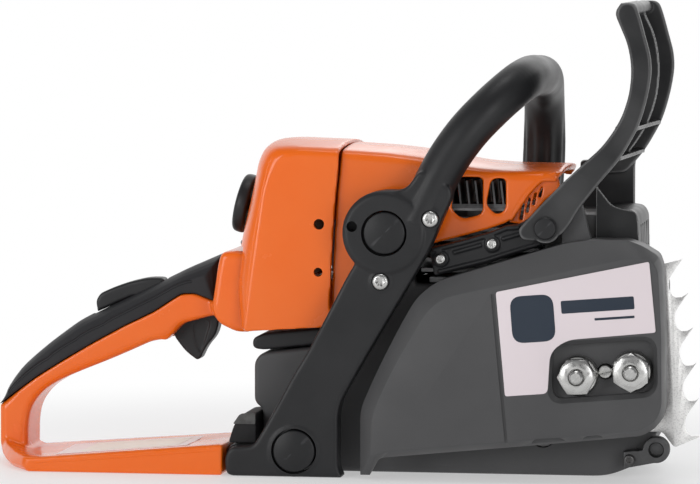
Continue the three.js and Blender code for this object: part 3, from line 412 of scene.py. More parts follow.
# ---- materials
class Surface:
    """A Principled material with its texture nodes, all in object space (metres)."""

    def __init__(self, name, rough=0.5, metal=0.0, coat=0.0, coat_rough=0.1, specular=0.5):
        self.material = bpy.data.materials.new(name)
        self.material.use_nodes = True
        self.tree = self.material.node_tree
        self.shader = self.tree.nodes["Principled BSDF"].inputs
        for key, value in (("Metallic", metal), ("Roughness", rough), ("Coat Weight", coat),
                           ("Coat Roughness", coat_rough), ("Specular IOR Level", specular)):
            self.shader[key].default_value = value
        self.place = self.node("ShaderNodeTexCoord").outputs["Object"]
        self.bump_from = None

    def put(self, socket, value):
        """Links another node's output to the socket, or sets a plain value on it."""
        if hasattr(value, "is_linked"):
            self.tree.links.new(value, socket)
        else:
            socket.default_value = value

    def node(self, kind, **inputs):
        n = self.tree.nodes.new(kind)
        for key, value in inputs.items():
            self.put(n.inputs[key.replace("_", " ")], value)
        return n

    def noise(self, scale, detail=3.0, rough=0.5, stretch=None):
        place = self.place
        if stretch:
            place = self.node("ShaderNodeMapping", Vector=place, Scale=stretch).outputs["Vector"]
        return self.node("ShaderNodeTexNoise", Vector=place, Scale=scale, Detail=detail,
                         Roughness=rough).outputs["Fac"]

    def ramp(self, value, low, high, a=0.0, b=1.0):
        n = self.node("ShaderNodeMapRange", Value=value, From_Min=low, From_Max=high, To_Min=a, To_Max=b)
        return n.outputs["Result"]

    def mix(self, share, a, b):
        n = self.tree.nodes.new("ShaderNodeMix")
        n.data_type = "RGBA"
        for i, v in ((0, share), (6, a), (7, b)):
            self.put(n.inputs[i], (*v, 1) if isinstance(v, tuple) else v)
        return n.outputs[2]

    def times(self, a, b):
        n = self.tree.nodes.new("ShaderNodeMath")
        n.operation = "MULTIPLY"
        self.put(n.inputs[0], a)
        self.put(n.inputs[1], b)
        return n.outputs[0]

    def edges(self, low=0.52, high=0.62):
        """1 on outer edges, 0 elsewhere."""
        return self.ramp(self.node("ShaderNodeNewGeometry").outputs["Pointiness"], low, high)

    def bump(self, height, distance_mm):
        n = self.node("ShaderNodeBump", Height=height, Strength=1.0, Distance=distance_mm / 1000)
        if self.bump_from:
            self.put(n.inputs["Normal"], self.bump_from)
        self.bump_from = n.outputs["Normal"]
        self.put(self.shader["Normal"], self.bump_from)


def moulded_plastic(name, base, light, rough, grain=900, grain_mm=0.03, sway=0.0, coat=0.0, edge_wear_and_highlight=0.35,
                    scuffs=0.5, specular=0.3, rims=False):
    """Moulded plastic: a fine grain, slow waviness in gloss, faint scuffs and lighter edges, partly wear and
    partly a painted highlight.
    """
    s = Surface(name, rough=rough, coat=coat, coat_rough=0.12, specular=specular)
    cloud = s.ramp(s.noise(26, 4), 0.3, 0.75)
    col = s.mix(s.times(cloud, 0.5), base, tuple(0.82 * b + 0.18 * w for b, w in zip(base, light)))
    scratch = s.ramp(s.noise(60, 6, 0.7, (1, 5, 14)), 0.62, 0.75)
    col = s.mix(s.times(scratch, 0.22 * scuffs), col, light)
    # convex edges painted lighter, partly as wear and partly as a painted highlight; with rims every edge is
    # lightened evenly, a painted highlight
    wear_and_highlight_edges = s.edges(0.515, 0.57) if rims else s.times(s.edges(), s.ramp(s.noise(170, 5), 0.42, 0.62))
    s.put(s.shader["Base Color"], s.mix(s.times(wear_and_highlight_edges, edge_wear_and_highlight), col, light))
    s.put(s.shader["Roughness"], s.ramp(s.noise(45, 5), 0.3, 0.7, rough - 0.06, rough + 0.07))
    if sway:
        s.bump(s.noise(22, 1), sway)
    s.bump(s.noise(grain, 2), grain_mm)
    return s.material


def metal_surface(name, base, dark, rough, grain=(1, 1, 1), scale=500, grain_mm=0.01, blotch=0.4, specks=0.0):
    """Plated or bare metal: brushed or cast grain, tarnish blotches, specks and a painted highlight on the
    edges.
    """
    s = Surface(name, rough=rough, metal=1.0)
    col = s.mix(s.times(s.ramp(s.noise(70, 5, 0.6), 0.35, 0.7), blotch), base, dark)
    if specks:
        dots = s.ramp(s.noise(1100, 2), 0.5, 0.62)
        col = s.mix(s.times(dots, specks), col, dark)
    # convex edges painted lighter: a painted highlight
    painted_edge_highlight = tuple(min(1, v * 1.25) for v in base)
    s.put(s.shader["Base Color"], s.mix(s.times(s.edges(0.51, 0.58), 0.5), col, painted_edge_highlight))
    s.put(s.shader["Roughness"], s.ramp(s.noise(scale, 3, 0.6, grain), 0.3, 0.7, rough - 0.08, rough + 0.12))
    s.bump(s.noise(scale, 3, 0.6, grain), grain_mm)
    return s.material


ORANGE = moulded_plastic("orange_plastic", (0.8, 0.13, 0.003), (0.93, 0.33, 0.1), 0.22, 1300, 0.004, 0.1,
                         coat=0.1, edge_wear_and_highlight=0.08, scuffs=0.1, specular=0.4)
GREY = moulded_plastic("grey_cover", (0.062, 0.062, 0.064), (0.19, 0.19, 0.19),
                       0.46, 1500, 0.03, edge_wear_and_highlight=0.0, scuffs=0.25)
PAN = moulded_plastic("grey_housing", (0.062, 0.062, 0.064), (0.17, 0.17, 0.17), 0.5, 1200, 0.04, edge_wear_and_highlight=0.4)
BLACK = moulded_plastic("black_plastic", (0.0105, 0.0108, 0.0118), (0.09, 0.09, 0.095), 0.42, 1600, 0.03, 0.08,
                        edge_wear_and_highlight=0.4, scuffs=0.3)
# black whose every rim is painted light grey: a painted highlight along the edges of the hand guard and the
# muffler guard
EDGED = moulded_plastic("edge_lit_black", (0.0105, 0.0108, 0.0118), (0.42, 0.42, 0.42), 0.38, 1600, 0.02, 0.08,
                        edge_wear_and_highlight=0.8, scuffs=0.1, rims=True)
GRIP = moulded_plastic("soft_grip", (0.0125, 0.0125, 0.0145), (0.08, 0.08, 0.085), 0.55, 2300, 0.05, edge_wear_and_highlight=0.4)
RUBBER = moulded_plastic("rubber", (0.01, 0.01, 0.011), (0.06, 0.06, 0.06), 0.65, 1700, 0.05, edge_wear_and_highlight=0.3)
WORN_BLACK = moulded_plastic("worn_black", (0.05, 0.05, 0.05), (0.25, 0.25, 0.24),
                             0.6, 1100, 0.06, edge_wear_and_highlight=0.5, scuffs=1.6)
ZINC = metal_surface("zinc_plated", (0.5, 0.5, 0.49), (0.22, 0.21, 0.2), 0.28, (1, 12, 1), 260, 0.01, 0.45)
BUMPER = metal_surface("bumper_steel", (0.84, 0.835, 0.82), (0.4, 0.395, 0.39), 0.45, (1, 1, 1), 420, 0.02,
                       0.2, 0.45)
STEEL = metal_surface("turned_steel", (0.5, 0.5, 0.49), (0.2, 0.19, 0.18), 0.3, (12, 1, 1), 260, 0.008, 0.4)
DARK_STEEL = metal_surface("dark_steel", (0.12, 0.12, 0.122), (0.05, 0.045, 0.04), 0.45, (1, 1, 1), 350, 0.02,
                           0.5)
ALLOY = metal_surface("cast_alloy", (0.36, 0.36, 0.365), (0.14, 0.14, 0.14), 0.48, (1, 1, 1), 600, 0.06, 0.5)
DARK_ALLOY = metal_surface("catcher_alloy", (0.11, 0.11, 0.112), (0.05, 0.05, 0.05), 0.5, (1, 1, 1), 500, 0.05,
                           0.5)
FELT = moulded_plastic("filter_felt", (0.62, 0.57, 0.46), (0.75, 0.72, 0.63), 0.9, 1400, 0.2, edge_wear_and_highlight=0.0)
STICKER = moulded_plastic("label_film", (0.69, 0.615, 0.64), (0.8, 0.74, 0.76),
                          0.36, 700, 0.004, 0.03, edge_wear_and_highlight=0.0, scuffs=0.6)
# pale pinkish white of the bar's top: partly a sticker's border, partly painted light falling from above
PALE_STICKER_AND_TOP_LIGHT = moulded_plastic("bar_sticker_edge_and_top_light", (0.93, 0.8, 0.78), (0.95, 0.9, 0.9),
                       0.36, 700, 0.004, edge_wear_and_highlight=0.0, scuffs=0.5)
BEIGE = moulded_plastic("bar_sticker_film", (0.93, 0.86, 0.76), (0.95, 0.92, 0.88),
                        0.4, 700, 0.004, edge_wear_and_highlight=0.0, scuffs=0.5)
INK = moulded_plastic("label_ink", (0.016, 0.026, 0.042), (0.1, 0.11, 0.13), 0.35, 700, 0.004, edge_wear_and_highlight=0.0,
                      scuffs=0.4)
CORD = moulded_plastic("starter_cord", (0.3, 0.29, 0.25), (0.42, 0.4, 0.35), 0.85, 2600, 0.15, edge_wear_and_highlight=0.0)


LOOKS = {  # for each material slot of the record, its looks; CAD nodes that stay on show take the first
    "orange_shell": (ORANGE,), "grey_cover": (GREY,), "grey_housing": (PAN,), "soft_grip": (GRIP,),
    "black_moulding": (BLACK, EDGED), "rubber_parts": (RUBBER, WORN_BLACK),
    "bright_steel": (STEEL, ZINC, BUMPER), "dark_steel": (DARK_STEEL, DARK_ALLOY), "cast_alloy": (ALLOY,),
    "filter_felt": (FELT,), "rope_fibre": (CORD,), "label_film": (STICKER, PALE_STICKER_AND_TOP_LIGHT, BEIGE, INK),
}


# ---- orange mouldings
def eased(table, step=1.3):
    """Rows of (y, ...) along a smooth line through a table of three numbers each."""
    return [tuple(v) for v in catmull(table, step)]


def rear_hood(lean, drop):
    """Corners of the filter cover's side; lean moves its rear wall back, drop lowers its top."""
    return [
        (-2.9, 86, 2), (-56 - 0.35 * lean, 82.5, 3), (-54.3 - lean, 108, 8), (-50.6 - 1.05 * lean, 135, 8),
        (-45.6 - 0.8 * lean, 165, 8), (-42 - 0.85 * lean, 180 - drop, 4),
        (-38.5 - 0.85 * lean, 187 - drop, 5), (-34 - 0.8 * lean, 190.4 - drop, 4),
        (-25 - 0.7 * lean, 191.4 - drop, 5), (1.1, 190.2 - drop, 0.5), (0.6, 177, 3), (-0.9, 162, 5),
        (-1.9, 148, 5), (-3.4, 122, 5), (-4.2, 100, 3),
    ]


TANK = [(-77, 94, 5), (-73, 86, 5), (-62, 81, 3), (-54, 81, 1), (-53, 86.3, 1), (4, 86.3, 3), (4, 112, 4),
        (-49, 113, 4), (-53, 128, 3), (-62, 129, 4), (-71, 128, 3), (-73, 121, 3)]
UNDER_GRIP = [(-209, 34), (-197, 43.2, 4), (-186, 51.2, 4), (-169, 61.8, 4), (-152, 71.8, 4), (-133, 82.2, 4),
              (-114, 91.4, 4), (-105, 97.4, 3), (-98, 101.8, 2), (-90, 102.2, 2), (-78, 97.8)]
HAND_LOOP = [(-78, 86, 2), (-82, 89.5, 5), (-98, 84, 6), (-103, 78, 4), (-108, 74.5, 4), (-116, 73.5, 4),
             (-128, 68, 6), (-143, 61.5, 6), (-160, 54.7, 6), (-173, 49, 6), (-183, 42.5, 7), (-190, 33, 7),
             (-192, 22, 6)]


def opened(corners):
    """The hood's inner outline, carried out through its open front and underside."""
    return [(x + 14 if x > -8 else x, z - (9 if z < 90 else 0), *r) for x, z, *r in corners]


def filter_cover():
    table = [(-50, -3, 4), (-48.7, -0.4, 2), (-45.5, 3, 0.2), (-34, 8, -1.4), (-17, 10, -2.6), (0, 10.5, -3),
             (18, 10, -2.6), (36, 8, -1.4), (47.5, 3, 0.2), (50.7, -0.4, 2), (52, -3, 4)]
    outer = layers("filter_cover",
                   [(y, outline(rear_hood(lean, drop), steps=4)) for y, lean, drop in eased(table)])
    inner_table = [(-47.3, 0, 1.6), (-44, 3.4, 0.2), (-34, 8, -1.4), (0, 10.5, -3), (36, 8, -1.4),
                   (46, 3.4, 0.2), (49.3, 0, 1.6)]
    inner = layers("in", [(y, outline(opened(shrunk(rear_hood(lean, drop), 2.5)), steps=4))
                          for y, lean, drop in eased(inner_table)])
    skin = cut(
        moulded(outer, 0.9, 2), rod("g", FUEL_CAP, 16.5, 45, 60), block("h", -80, -54, 41.5, 54, 104, 121),
        moulded(inner, 0.9, 2), slab("a", TANK, -40, 42), block("b", -90, -50, -40, 42, 70, 131.5),
        rod("c", (-10.5, 146), 3.1, -55, -44), rod("d", (-11, 118), 2.6, -55, -44),
        turned("k", [(5, -30), (5, 30)], (0, 0), "y", 48, lock_frame()),
    )
    finished(crisp(skin), ORANGE)


def lock_frame():
    """Matrix of the twist lock: its local +y points out of the slanted rear wall."""
    out = Vector((-cos(LOCK_TILT), 0, sin(LOCK_TILT)))
    up = Vector((sin(LOCK_TILT), 0, cos(LOCK_TILT)))
    side = out.cross(up)
    m = Matrix((side, out, up)).transposed().to_4x4()
    m.translation = Vector(LOCK)
    return m


def shroud_side(drop, nose):
    return outline([
        (2, 190 - drop, 1), (28, 188.5 - drop, 6), (53, 185.5 - drop, 8), (80, 180 - drop, 8),
        (104, 178.5 - drop, 6), (131 - nose, 178.4 - drop, 1), (130 - nose, 175 - drop, 1), (119, 172, 5),
        (112, 166, 5), (104, 154, 4), (101, 148.5, 3), (90, 144.4, 3), (74, 139.8, 3), (57, 135.5, 3),
        (40, 129, 3), (26, 112, 3), (18, 96, 3), (14, 87, 1), (-9.5, 86, 1), (-3.8, 100, 4), (-3, 122, 4),
        (-1.5, 148, 4), (-0.5, 162, 4), (1, 177, 4),
    ], steps=3)


def window(name, x0, x1, top, low, y0, y1):
    corners = [(x0, low + 4, 3), (x0 + 3, top, 4), (x1, top, 3), (x1, low + 1, 4), (x0 + 6, low - 2, 5)]
    return slab(name, corners, y0, y1)


def top_shroud():
    table = [(-45, 5, 3), (-44, 3, 1.6), (-42, 1.4, 0.6), (-38, 0.5, 0), (-20, -1, 0), (0, -1.6, 0),
             (22, -1, 0), (40, 0.5, 0), (44, 1.4, 0.6), (46, 3, 1.6), (47, 5, 3)]
    outer = layers("top_shroud", [(y, shroud_side(drop, nose)) for y, drop, nose in eased(table)])
    hollow = slab("in", [(-30, 60), (150, 60), (150, 173), (126, 174.6), (104, 175), (80, 176), (53, 181.5),
                         (28, 184.5), (-30, 186)], -42.5, 44.5)
    vents = [window("v", *place, *side) for place in ((66.5, 85, 174, 151.5), (87, 98.5, 173.5, 154))
             for side in ((-50, -40), (40, 50))]
    skin = cut(outer, hollow, *vents, rod("a", AV_UPPER, 13.5, -50, -40),
               *[rod("b", c, 3, -50, -40) for c in FRAME_SCREWS], block("d", 20, 60, 40, 50, 60, 126),
               block("e", 100, 140, 40, 50, 60, 150), block("f", 60, 101, 40, 50, 60, 132))
    # raised lip along the arch over the front opening
    arch = [(128, -43.3, 176.6), (119.5, -43.7, 172.8), (112.3, -43.9, 166), (107.8, -43.9, 159.7),
            (104, -43.9, 153.8), (101.2, -43.8, 149.2)]
    skin = joined(skin, tube("lip", arch, 1.5, 20, 1.2))
    moulded(skin, 0.8, 4)
    finished(skin, ORANGE)
    # slotted inner wall behind the arch
    wall = slab("shroud_grille",
                [(100, 147.8), (104.5, 154.6, 2), (112.6, 166.6, 3), (119.6, 173.3, 2), (129, 173.6),
                 (130, 168, 4), (121, 161, 6), (113.5, 151.5, 6), (109, 146.5, 2)], -42.2, -39.6)
    bars = [slab("s", [(106 + 3.6 * i, 149 + 4.4 * i), (108 + 3.6 * i, 149 + 4.4 * i),
                       (109.5 + 3.6 * i, 160.5 + 3.1 * i), (107.8 + 3.6 * i, 158.5 + 3.1 * i)], -45, -38)
            for i in range(4)]
    wall = cut(wall, *bars)
    moulded(wall, 0.5, 2)
    finished(wall, ORANGE)


def tank_handle():
    tank = slab("tank_handle", TANK, -38, 40, 0, 3.5)
    # The beam's upper edge stays sharp under the grip; its lower edge, round the hand's opening, is rounded.
    corners = UNDER_GRIP + [(-70, 95), (-70, 89), (-78, 89.5, 4)] + HAND_LOOP[2:] + [(-192, 6), (-209, 6, 5)]

    def row(d):
        """The outline moved in by d round the hand's opening, and hardly at all under the grip."""
        moved = []
        for i, (c, m) in enumerate(zip(corners, inset([c[:2] for c in corners], d))):
            from_end = (Vector(c[:2]) - Vector(corners[0])).length
            share = 1.0 if i > len(UNDER_GRIP) + 2 else 0.12 + 0.88 * exp(-from_end / 7)
            moved.append((*Vector(c[:2]).lerp(Vector(m), share), *c[2:]))
        return outline(moved, steps=5)

    arc = quarter(4)
    beam = layers("beam",
                  [(-22 + out, row(i)) for i, out in arc] + [(16 - out, row(i)) for i, out in reversed(arc)])
    neck = slab("neck", [(-79, 92), (-80.5, 98.4, 2), (-62, 98), (-62, 84), (-73, 84, 4)], -30, 24, 0, 4)
    end = -65
    bar = layers("bar", [
        (-68, [(-182.5, 2.5), (-181, 0), (end, 0), (end, 17.2), (-173, 8.2), (-181.5, 7.2)]),
        (-66, [(-185, 3), (-182, 0), (end, 0), (end, 18), (-173, 8.6), (-184, 8.4)]),
        (-50, [(-196, 3.5), (-192, 0), (end, 0), (end, 17.5), (-180, 8), (-193, 9.4)]),
        (-40, [(-201, 4.5), (-197, 0), (end, 0), (end, 17.2), (-184, 7.7), (-198, 10.6)]),
        (-30, [(-205, 6), (-200, 0), (end, 0), (end, 17), (-187, 7.6), (-202.5, 12)]),
        (-21, [(-208, 8), (-203, 0), (end, 0), (end, 16.6), (-188, 7.4), (-205.5, 14)]),
        (10, [(-209, 8), (-204, 0), (end, 0), (end, 17), (-188, 8), (-206, 17)]),
    ])
    nub = slab("nub", [(-116, 80), (-116, 75.2, 1), (-107.2, 74, 1.5), (-101, 80.5, 1), (-101, 86)],
               -20.5, 14, 0, 0.6)
    neck = joined(neck, nub)
    skin = joined(tank, beam, bar, neck)
    moulded(skin, 0.8, 7)
    crease = tube("z", [(-176, -68.4, 5.2), (-120, -68.4, 9.6), (-66, -68.4, 14.6)], 0.55, 10, 6)
    skin = cut(skin, crease, block("a", -48, 0, -34, 36, 89.5, 109), rod("b", FUEL_CAP, 11.4, 30, 41),
               block("c", -110, -76, -10.6, 4.6, 70, 98.5), block("d", -155, -106, -10.6, 4.6, 80, 120),
               rod("e", TRIGGER_PIVOT, 2.9, -13.5, 7.5), rod("f", LOCKOUT_PIVOT, 2.9, -13.5, 7.5),
               rod("g", LEVER, 3.6, 34, 41))
    finished(crisp(skin), ORANGE)

    def top_of_bar(x, y):
        """Height of the lower bar's upper face, where the plain pale sticker lies, its pale tint partly painted
        light from above.
        """
        near = (x + 173) / (173 + end) * 9.4 + 8.6
        far = (x + 188) / (188 + end) * 9.2 + 7.4
        share = min(max((y + 66) / 44, 0), 1)
        return near + (far - near) * share

    # the pale sheet covers most of the bar's top: partly a sticker, partly painted light from above; the beige
    # field is the sticker itself
    for name, ends, sides, lift, film in (("bar_sticker", (-166, -88), (-58, 2), 0.1, PALE_STICKER_AND_TOP_LIGHT),
                                          ("bar_sticker_field", (-152, -94), (-52, -6), 0.3, BEIGE)):
        grid = [(ends[0] + (ends[1] - ends[0]) * i / 3, sides[0] + (sides[1] - sides[0]) * j / 2)
                for j in range(3) for i in range(4)]
        verts = [(x, y, top_of_bar(x, y) + lift + h) for h in (0, 0.2) for x, y in grid]
        faces = []
        for r in range(2):
            for c in range(3):
                q = (4 * r + c, 4 * r + c + 1, 4 * r + c + 5, 4 * r + c + 4)
                faces += [q, tuple(i + 12 for i in q)]
        rim = [0, 1, 2, 3, 7, 11, 10, 9, 8, 4]
        faces += [(a, b, b + 12, a + 12) for a, b in zip(rim, rim[1:] + rim[:1])]
        finished(bevelled(made(name, verts, faces), 0.06, 1), film)


# ---- grip and hand controls
GRIP_TOP = [(-74, 126), (-97, 116, 5), (-110, 109.5, 5), (-148, 91.5, 8), (-162, 84.5, 6), (-171, 78, 5),
            (-181, 70.5, 5), (-190, 63, 5), (-197, 56.5, 4), (-202, 50, 4), (-206, 43, 4), (-208.6, 35)]


def handle_grip():
    top = outline(GRIP_TOP, steps=4)
    under = [(x, z + 0.3) for x, z in outline(UNDER_GRIP, steps=4)]
    whole = top + under
    inward = inset(whole, 1)[: len(top)]

    def row(d):
        """The top line moved in by d, less where the grip is thin."""
        moved = []
        for p, q in zip(top, inward):
            thick = min((Vector(p) - Vector(u)).length for u in under)
            share = d * min(1, max(thick - 0.6, 0) / 17)
            moved.append((p[0] + (q[0] - p[0]) * share, p[1] + (q[1] - p[1]) * share))
        return moved + under

    half = [(19.6, 8.6), (19.3, 8.0), (18.4, 6.9), (16.4, 4.7), (13.4, 2.7), (10, 1.35), (6.5, 0.5), (3, 0.1)]
    rows = [(-3 - w, row(d)) for w, d in half] + [(-3, row(0))] + [(-3 + w, row(d)) for w, d in reversed(half)]
    body = moulded(layers("handle_grip", rows), 0.6, 3)
    crease = [tube("t", [(x, y, z) for x, z in row(9.6)[: len(top)]][2:-3], 1.0, 12, 4) for y in (-22.9, 16.9)]
    body = cut(body, *crease, slab("a", shrunk(TANK, -0.4), -39, 41), block("b", -72.5, -60, -30, 30, 80, 140),
               block("c", -155, -108.3, -10.2, 4.2, 80, 130), block("d", -110, -76, -10.2, 4.2, 70, 103.5),
               rod("e", LOCKOUT_PIVOT, 2.9, -13.5, 7.5))
    finished(crisp(body), GRIP)


def levers():
    side = [(-151.5, 89.6), (-152.5, 96, 2), (-150, 100.5, 4), (-141, 104.6, 6), (-131, 108, 6),
            (-120, 110.4, 5), (-111, 110.2, 2), (-108.6, 100, 2), (-116, 97, 2), (-130, 99, 2)]
    lock = joined(slab("throttle_lockout", side, -9.6, 3.6, 0, 1.8), rod("x", LOCKOUT_PIVOT, 2.4, -13, 7))
    finished(moulded(lock, 0.45, 4), BLACK, "lockout")
    side = [(-77.6, 84, 3), (-77.4, 92, 4), (-82, 94.5, 4), (-100, 88.5, 4), (-105.5, 79, 3), (-104.5, 75, 3),
            (-98, 66.5, 5), (-91, 61.4, 1.5), (-88.8, 62.5, 1.5), (-85.5, 69.5, 6), (-79.5, 76.5, 4)]
    trigger = joined(slab("throttle_trigger", side, -9.6, 3.6, 0, 1.4), rod("x", TRIGGER_PIVOT, 2.4, -13, 7))
    scoop = [(-91.5, 93, 2), (-82.5, 84, 2), (-86.8, 70, 8), (-88.5, 65.4, 2), (-91.8, 70.5, 10),
             (-93.5, 82, 8)]
    trigger = cut(trigger, slab("s", scoop, -11, -8.9), slab("s", scoop, 2.9, 5))
    finished(moulded(trigger, 0.45, 3), BLACK, "trigger")
    side = [(-66, 108, 4), (-58, 108, 4), (-57.5, 116, 3), (-64, 124, 3), (-71.5, 131.4, 2.5), (-75, 128.6, 2),
            (-71, 121, 3)]
    lever = joined(slab("control_lever", side, 44, 50.5, 0, 1.2), rod("x", LEVER, 3.2, 35, 45))
    finished(moulded(lever, 0.5, 3), BLACK, "choke_lever")


def twist_lock():
    """A plain round knob with two finger scoops that leave a bar across its face."""
    profile = [(2, 1.6), (15.6, 1.6), (17.2, 2.2), (17.6, 3.4), (17.4, 6.8), (16.7, 8.2), (15.4, 8.9), (2, 9)]
    fine = [tuple(v)[:2] for v in catmull([(r, t, 0) for r, t in profile], 0.6)]
    knob = turned("twist_lock", fine, sides=128)
    scoops = [slab("s", [(x + side * 1.2, -10.5, 5), (x + side * 8.6, -8, 5), (x + side * 8.6, 8, 5),
                         (x + side * 1.2, 10.5, 5)],
                   4.4, 14) for side, x in ((1, 3.2), (-1, -3.2))]
    shaft = turned("t", [(4.4, -8), (4.4, 4)])
    foot = block("f", -7, 7, -10, -7.8, -3, 3)
    knob = moulded(joined(cut(knob, *scoops), shaft, foot), 0.45, 3)
    place = lock_frame()
    for v in knob.data.vertices:  # written on the lock's own axes until here
        local = Vector((v.co.x * 1000 + AXES[0], v.co.y * 1000 + AXES[1], v.co.z * 1000))
        v.co = point(*(place @ local))
    finished(knob, BLACK, "cover_lock")


def filler_cap(name, c, y, body):
    skin = turned(name,
                  [(10.8, y - 8), (10.8, y + 0.4), (15.5, y + 0.4), (15.5, y + 6.6), (14.4, y + 8),
                   (2, y + 8)], c)
    notches = [rod("n", (c[0] + 16.3 * cos(a), c[1] + 16.3 * sin(a)), 1.7, y + 1.4, y + 9, 20)
               for a in (pi * (i + 0.5) / 8 for i in range(16))]
    skin = joined(cut(skin, *notches), block("w", c[0] - 13, c[0] + 13, y + 7, y + 11.5, c[1] - 2, c[1] + 2, 1))
    finished(moulded(skin, 0.5, 3), BLACK, body)


# ---- handlebar, its frame and the anti-vibration mounts
FRAME_SIDE = [
    (29, 168, 10), (13, 161, 12), (5.5, 147, 12), (9, 135, 6), (15, 127, 4), (8.5, 116, 4), (0.5, 100.5, 6),
    (-13.5, 74, 6), (-23, 58.5, 6), (-33, 40, 6), (-41, 26, 7), (-46, 18, 5), (-52, 17, 3), (-60, 17, 5),
    (-63.3, 10, 5), (-62, 0, 4), (6.5, 0, 1), (4, 6, 2), (4, 42, 8), (18, 67, 8), (34, 94, 8), (49, 119, 8),
    (58, 135, 8), (66, 154, 8), (72, 168, 6), (52, 180, 5), (43, 167, 8),
]
TUBE_PATH = [
    (48, -60, 148), (56, -59, 165), (66, -58.5, 184), (78, -57, 201), (92, -52, 216), (103, -40, 226.5),
    (108, -18, 231), (109, 20, 231), (108, 62, 228), (106, 86, 218), (105, 98, 198), (104, 101, 172),
    (101, 101, 140), (94, 99, 104), (82, 96, 70), (68, 93.5, 42), (60, 92.8, 26),
]


def handlebar():
    plate = slab("handlebar", FRAME_SIDE, -70, -56, 0, 1.6)
    channel = slab("a",
                   [(12, 110, 4), (2, 88, 4), (-12, 62, 4), (-30, 30, 4), (-8, 28, 4), (0, 34, 4), (0, 45, 6),
                    (14, 69, 4), (30, 97, 4), (36, 108, 4), (24, 104, 4)], -62, -50)
    plate = cut(plate, channel)
    foot = slab("b", [(44, 14, 6), (44, 34, 6), (58, 42, 8), (72, 34, 6), (72, 14, 6)], 80.5, 92, 0, 1.5)
    end = -64.5
    cross = slab("c", [(end, 0), (end, 13, 2), (-62, 16.6, 2), (-47, 16.6, 2), (-46.6, 0)], -57, 12, 0, 1)

    def flutes(share, a):
        if share < 0.56:
            return 0.0
        return 0.75 * min((share - 0.56) / 0.05, 1) * min((1 - share) / 0.06, 1) * cos(TUBE_RIBS * a)

    grip = tube("d", TUBE_PATH, TUBE_RADIUS, 64, 2.6, flutes)
    boss = [rod("e", AV_UPPER, 23.2, -71.5, -56, 128, 1.2), rod("f", AV_UPPER, 24.6, -70.3, -56, 128, 0.8),
            rod("g", AV_LOWER, 15, -70.6, -56, 96, 0.8)]
    collars = [rod("h", c, 6.3, -70.6, -60, 64, 0.4) for c in FRAME_SCREWS]
    skin = joined(plate, foot, cross, grip, *boss, *collars)
    moulded(skin, 0.85, 4)
    holes = [rod("i", AV_UPPER, 13.3, -80, -66, 96), rod("j", AV_UPPER, 13, -80, -51),
             rod("k", AV_LOWER, 13.3, -80, -66, 96), rod("l", AV_LOWER, 13, -80, -51),
             rod("m", (12.3, 146.3), 3.1, -80, -62, 40), rod("n", TUBE_FOOT, 4.6, 70, 93),
             rod("o", TUBE_FOOT, 8.6, 91.9, 110)]
    holes += [rod("p", c, 5.3, -90, -69.8, 64) for c in FRAME_SCREWS]
    holes += [rod("q", c, 2.7, -80, -40, 40) for c in FRAME_SCREWS]
    skin = cut(skin, *holes)
    finished(crisp(skin), BLACK)
    plug = [(1, -60), (12.1, -60), (12.3, -69.4), (11.9, -70.1), (11.2, -70.4), (1, -70.4)]
    buffer = [(2, -59.6), (11, -59.6), (11, -54), (9, -52), (8.4, -49.5), (9, -47), (11, -46), (11, -39.4),
              (3.9, -39.4), (3.9, -30)]
    kinds = (("plug", plug, 0.15, 2, BLACK), ("buffer", buffer, 0.4, 3, RUBBER))
    for kind, profile, edge, steps, look in kinds:
        for where, c in (("upper", AV_UPPER), ("lower", AV_LOWER)):
            finished(bevelled(turned(f"av_{kind}_{where}", profile, c), edge, steps), look)
    profile = [(4, 66), (4, 73), (10, 73), (10, 75), (9, 76.5), (10, 78), (10, 80.1), (4, 80.1), (4, 92.3),
               (8, 92.3), (8, 94.4), (7.4, 95), (1, 95)]
    finished(bevelled(turned("av_buffer_left", profile, TUBE_FOOT), 0.3, 2), RUBBER)
    stop = slab("rear_stop",
                [(-63.5, 17.6, 2), (-60, 28.5, 3), (-56, 34.5, 3), (-47, 35, 1.4), (-47, 17.6, 1.4)], -55, -14)
    groove = slab("g", [(-70, 27.6), (-40, 27.6), (-40, 28.6), (-70, 28.6)], -60, -54.2)
    finished(moulded(cut(stop, groove), 0.45, 2), RUBBER)
    pad = slab("rear_stop_cap", [(-60.6, 28.8, 1), (-56.4, 34.9, 2), (-47.3, 35.4, 1), (-47.3, 28.8, 1)],
               -55.7, -55.05)
    finished(bevelled(pad, 0.15, 1), WORN_BLACK)


# ---- screws
def star(name, c, r, y0, y1):
    """Six-lobed recess for the driver, in a screw's head."""
    points = [((r * 0.86 + r * 0.14 * cos(6 * a)) * cos(a), (r * 0.86 + r * 0.14 * cos(6 * a)) * sin(a))
              for a in (pi * i / 30 for i in range(60))]
    points = around(c, points)
    return layers(name, [(y0, points), (y1, points)])


def lobed_screw(name, c, r, front, height, shank, tip, look=ZINC):
    """Pan-head screw along y; front is the y of its head, tip the y of its end."""
    side = 1 if tip > front else -1
    profile = [(0.5, front), (r * 0.72, front), (r * 0.93, front + side * height * 0.22),
               (r, front + side * height * 0.5), (r, front + side * height), (shank, front + side * height),
               (shank, tip)]
    screw = turned(name, profile, c, "y", 72)
    screw = cut(screw, star("t", c, r * 0.56, front - side, front + side * height * 0.7))
    finished(bevelled(screw, 0.12, 2, 40), look)


def thread_profile(r, y0, y1, pitch=1.25):
    """Rings of a metric thread from y0 to y1."""
    rows = [(r * 0.72, y0), (r * 0.86, y0 + 0.5)]
    y = y0 + 0.9
    while y < y1 - pitch:
        rows += [(r, y), (r, y + 0.16 * pitch), (r - 0.6, y + 0.55 * pitch), (r - 0.6, y + 0.65 * pitch)]
        y += pitch
    return rows + [(r, y), (r, y1)]


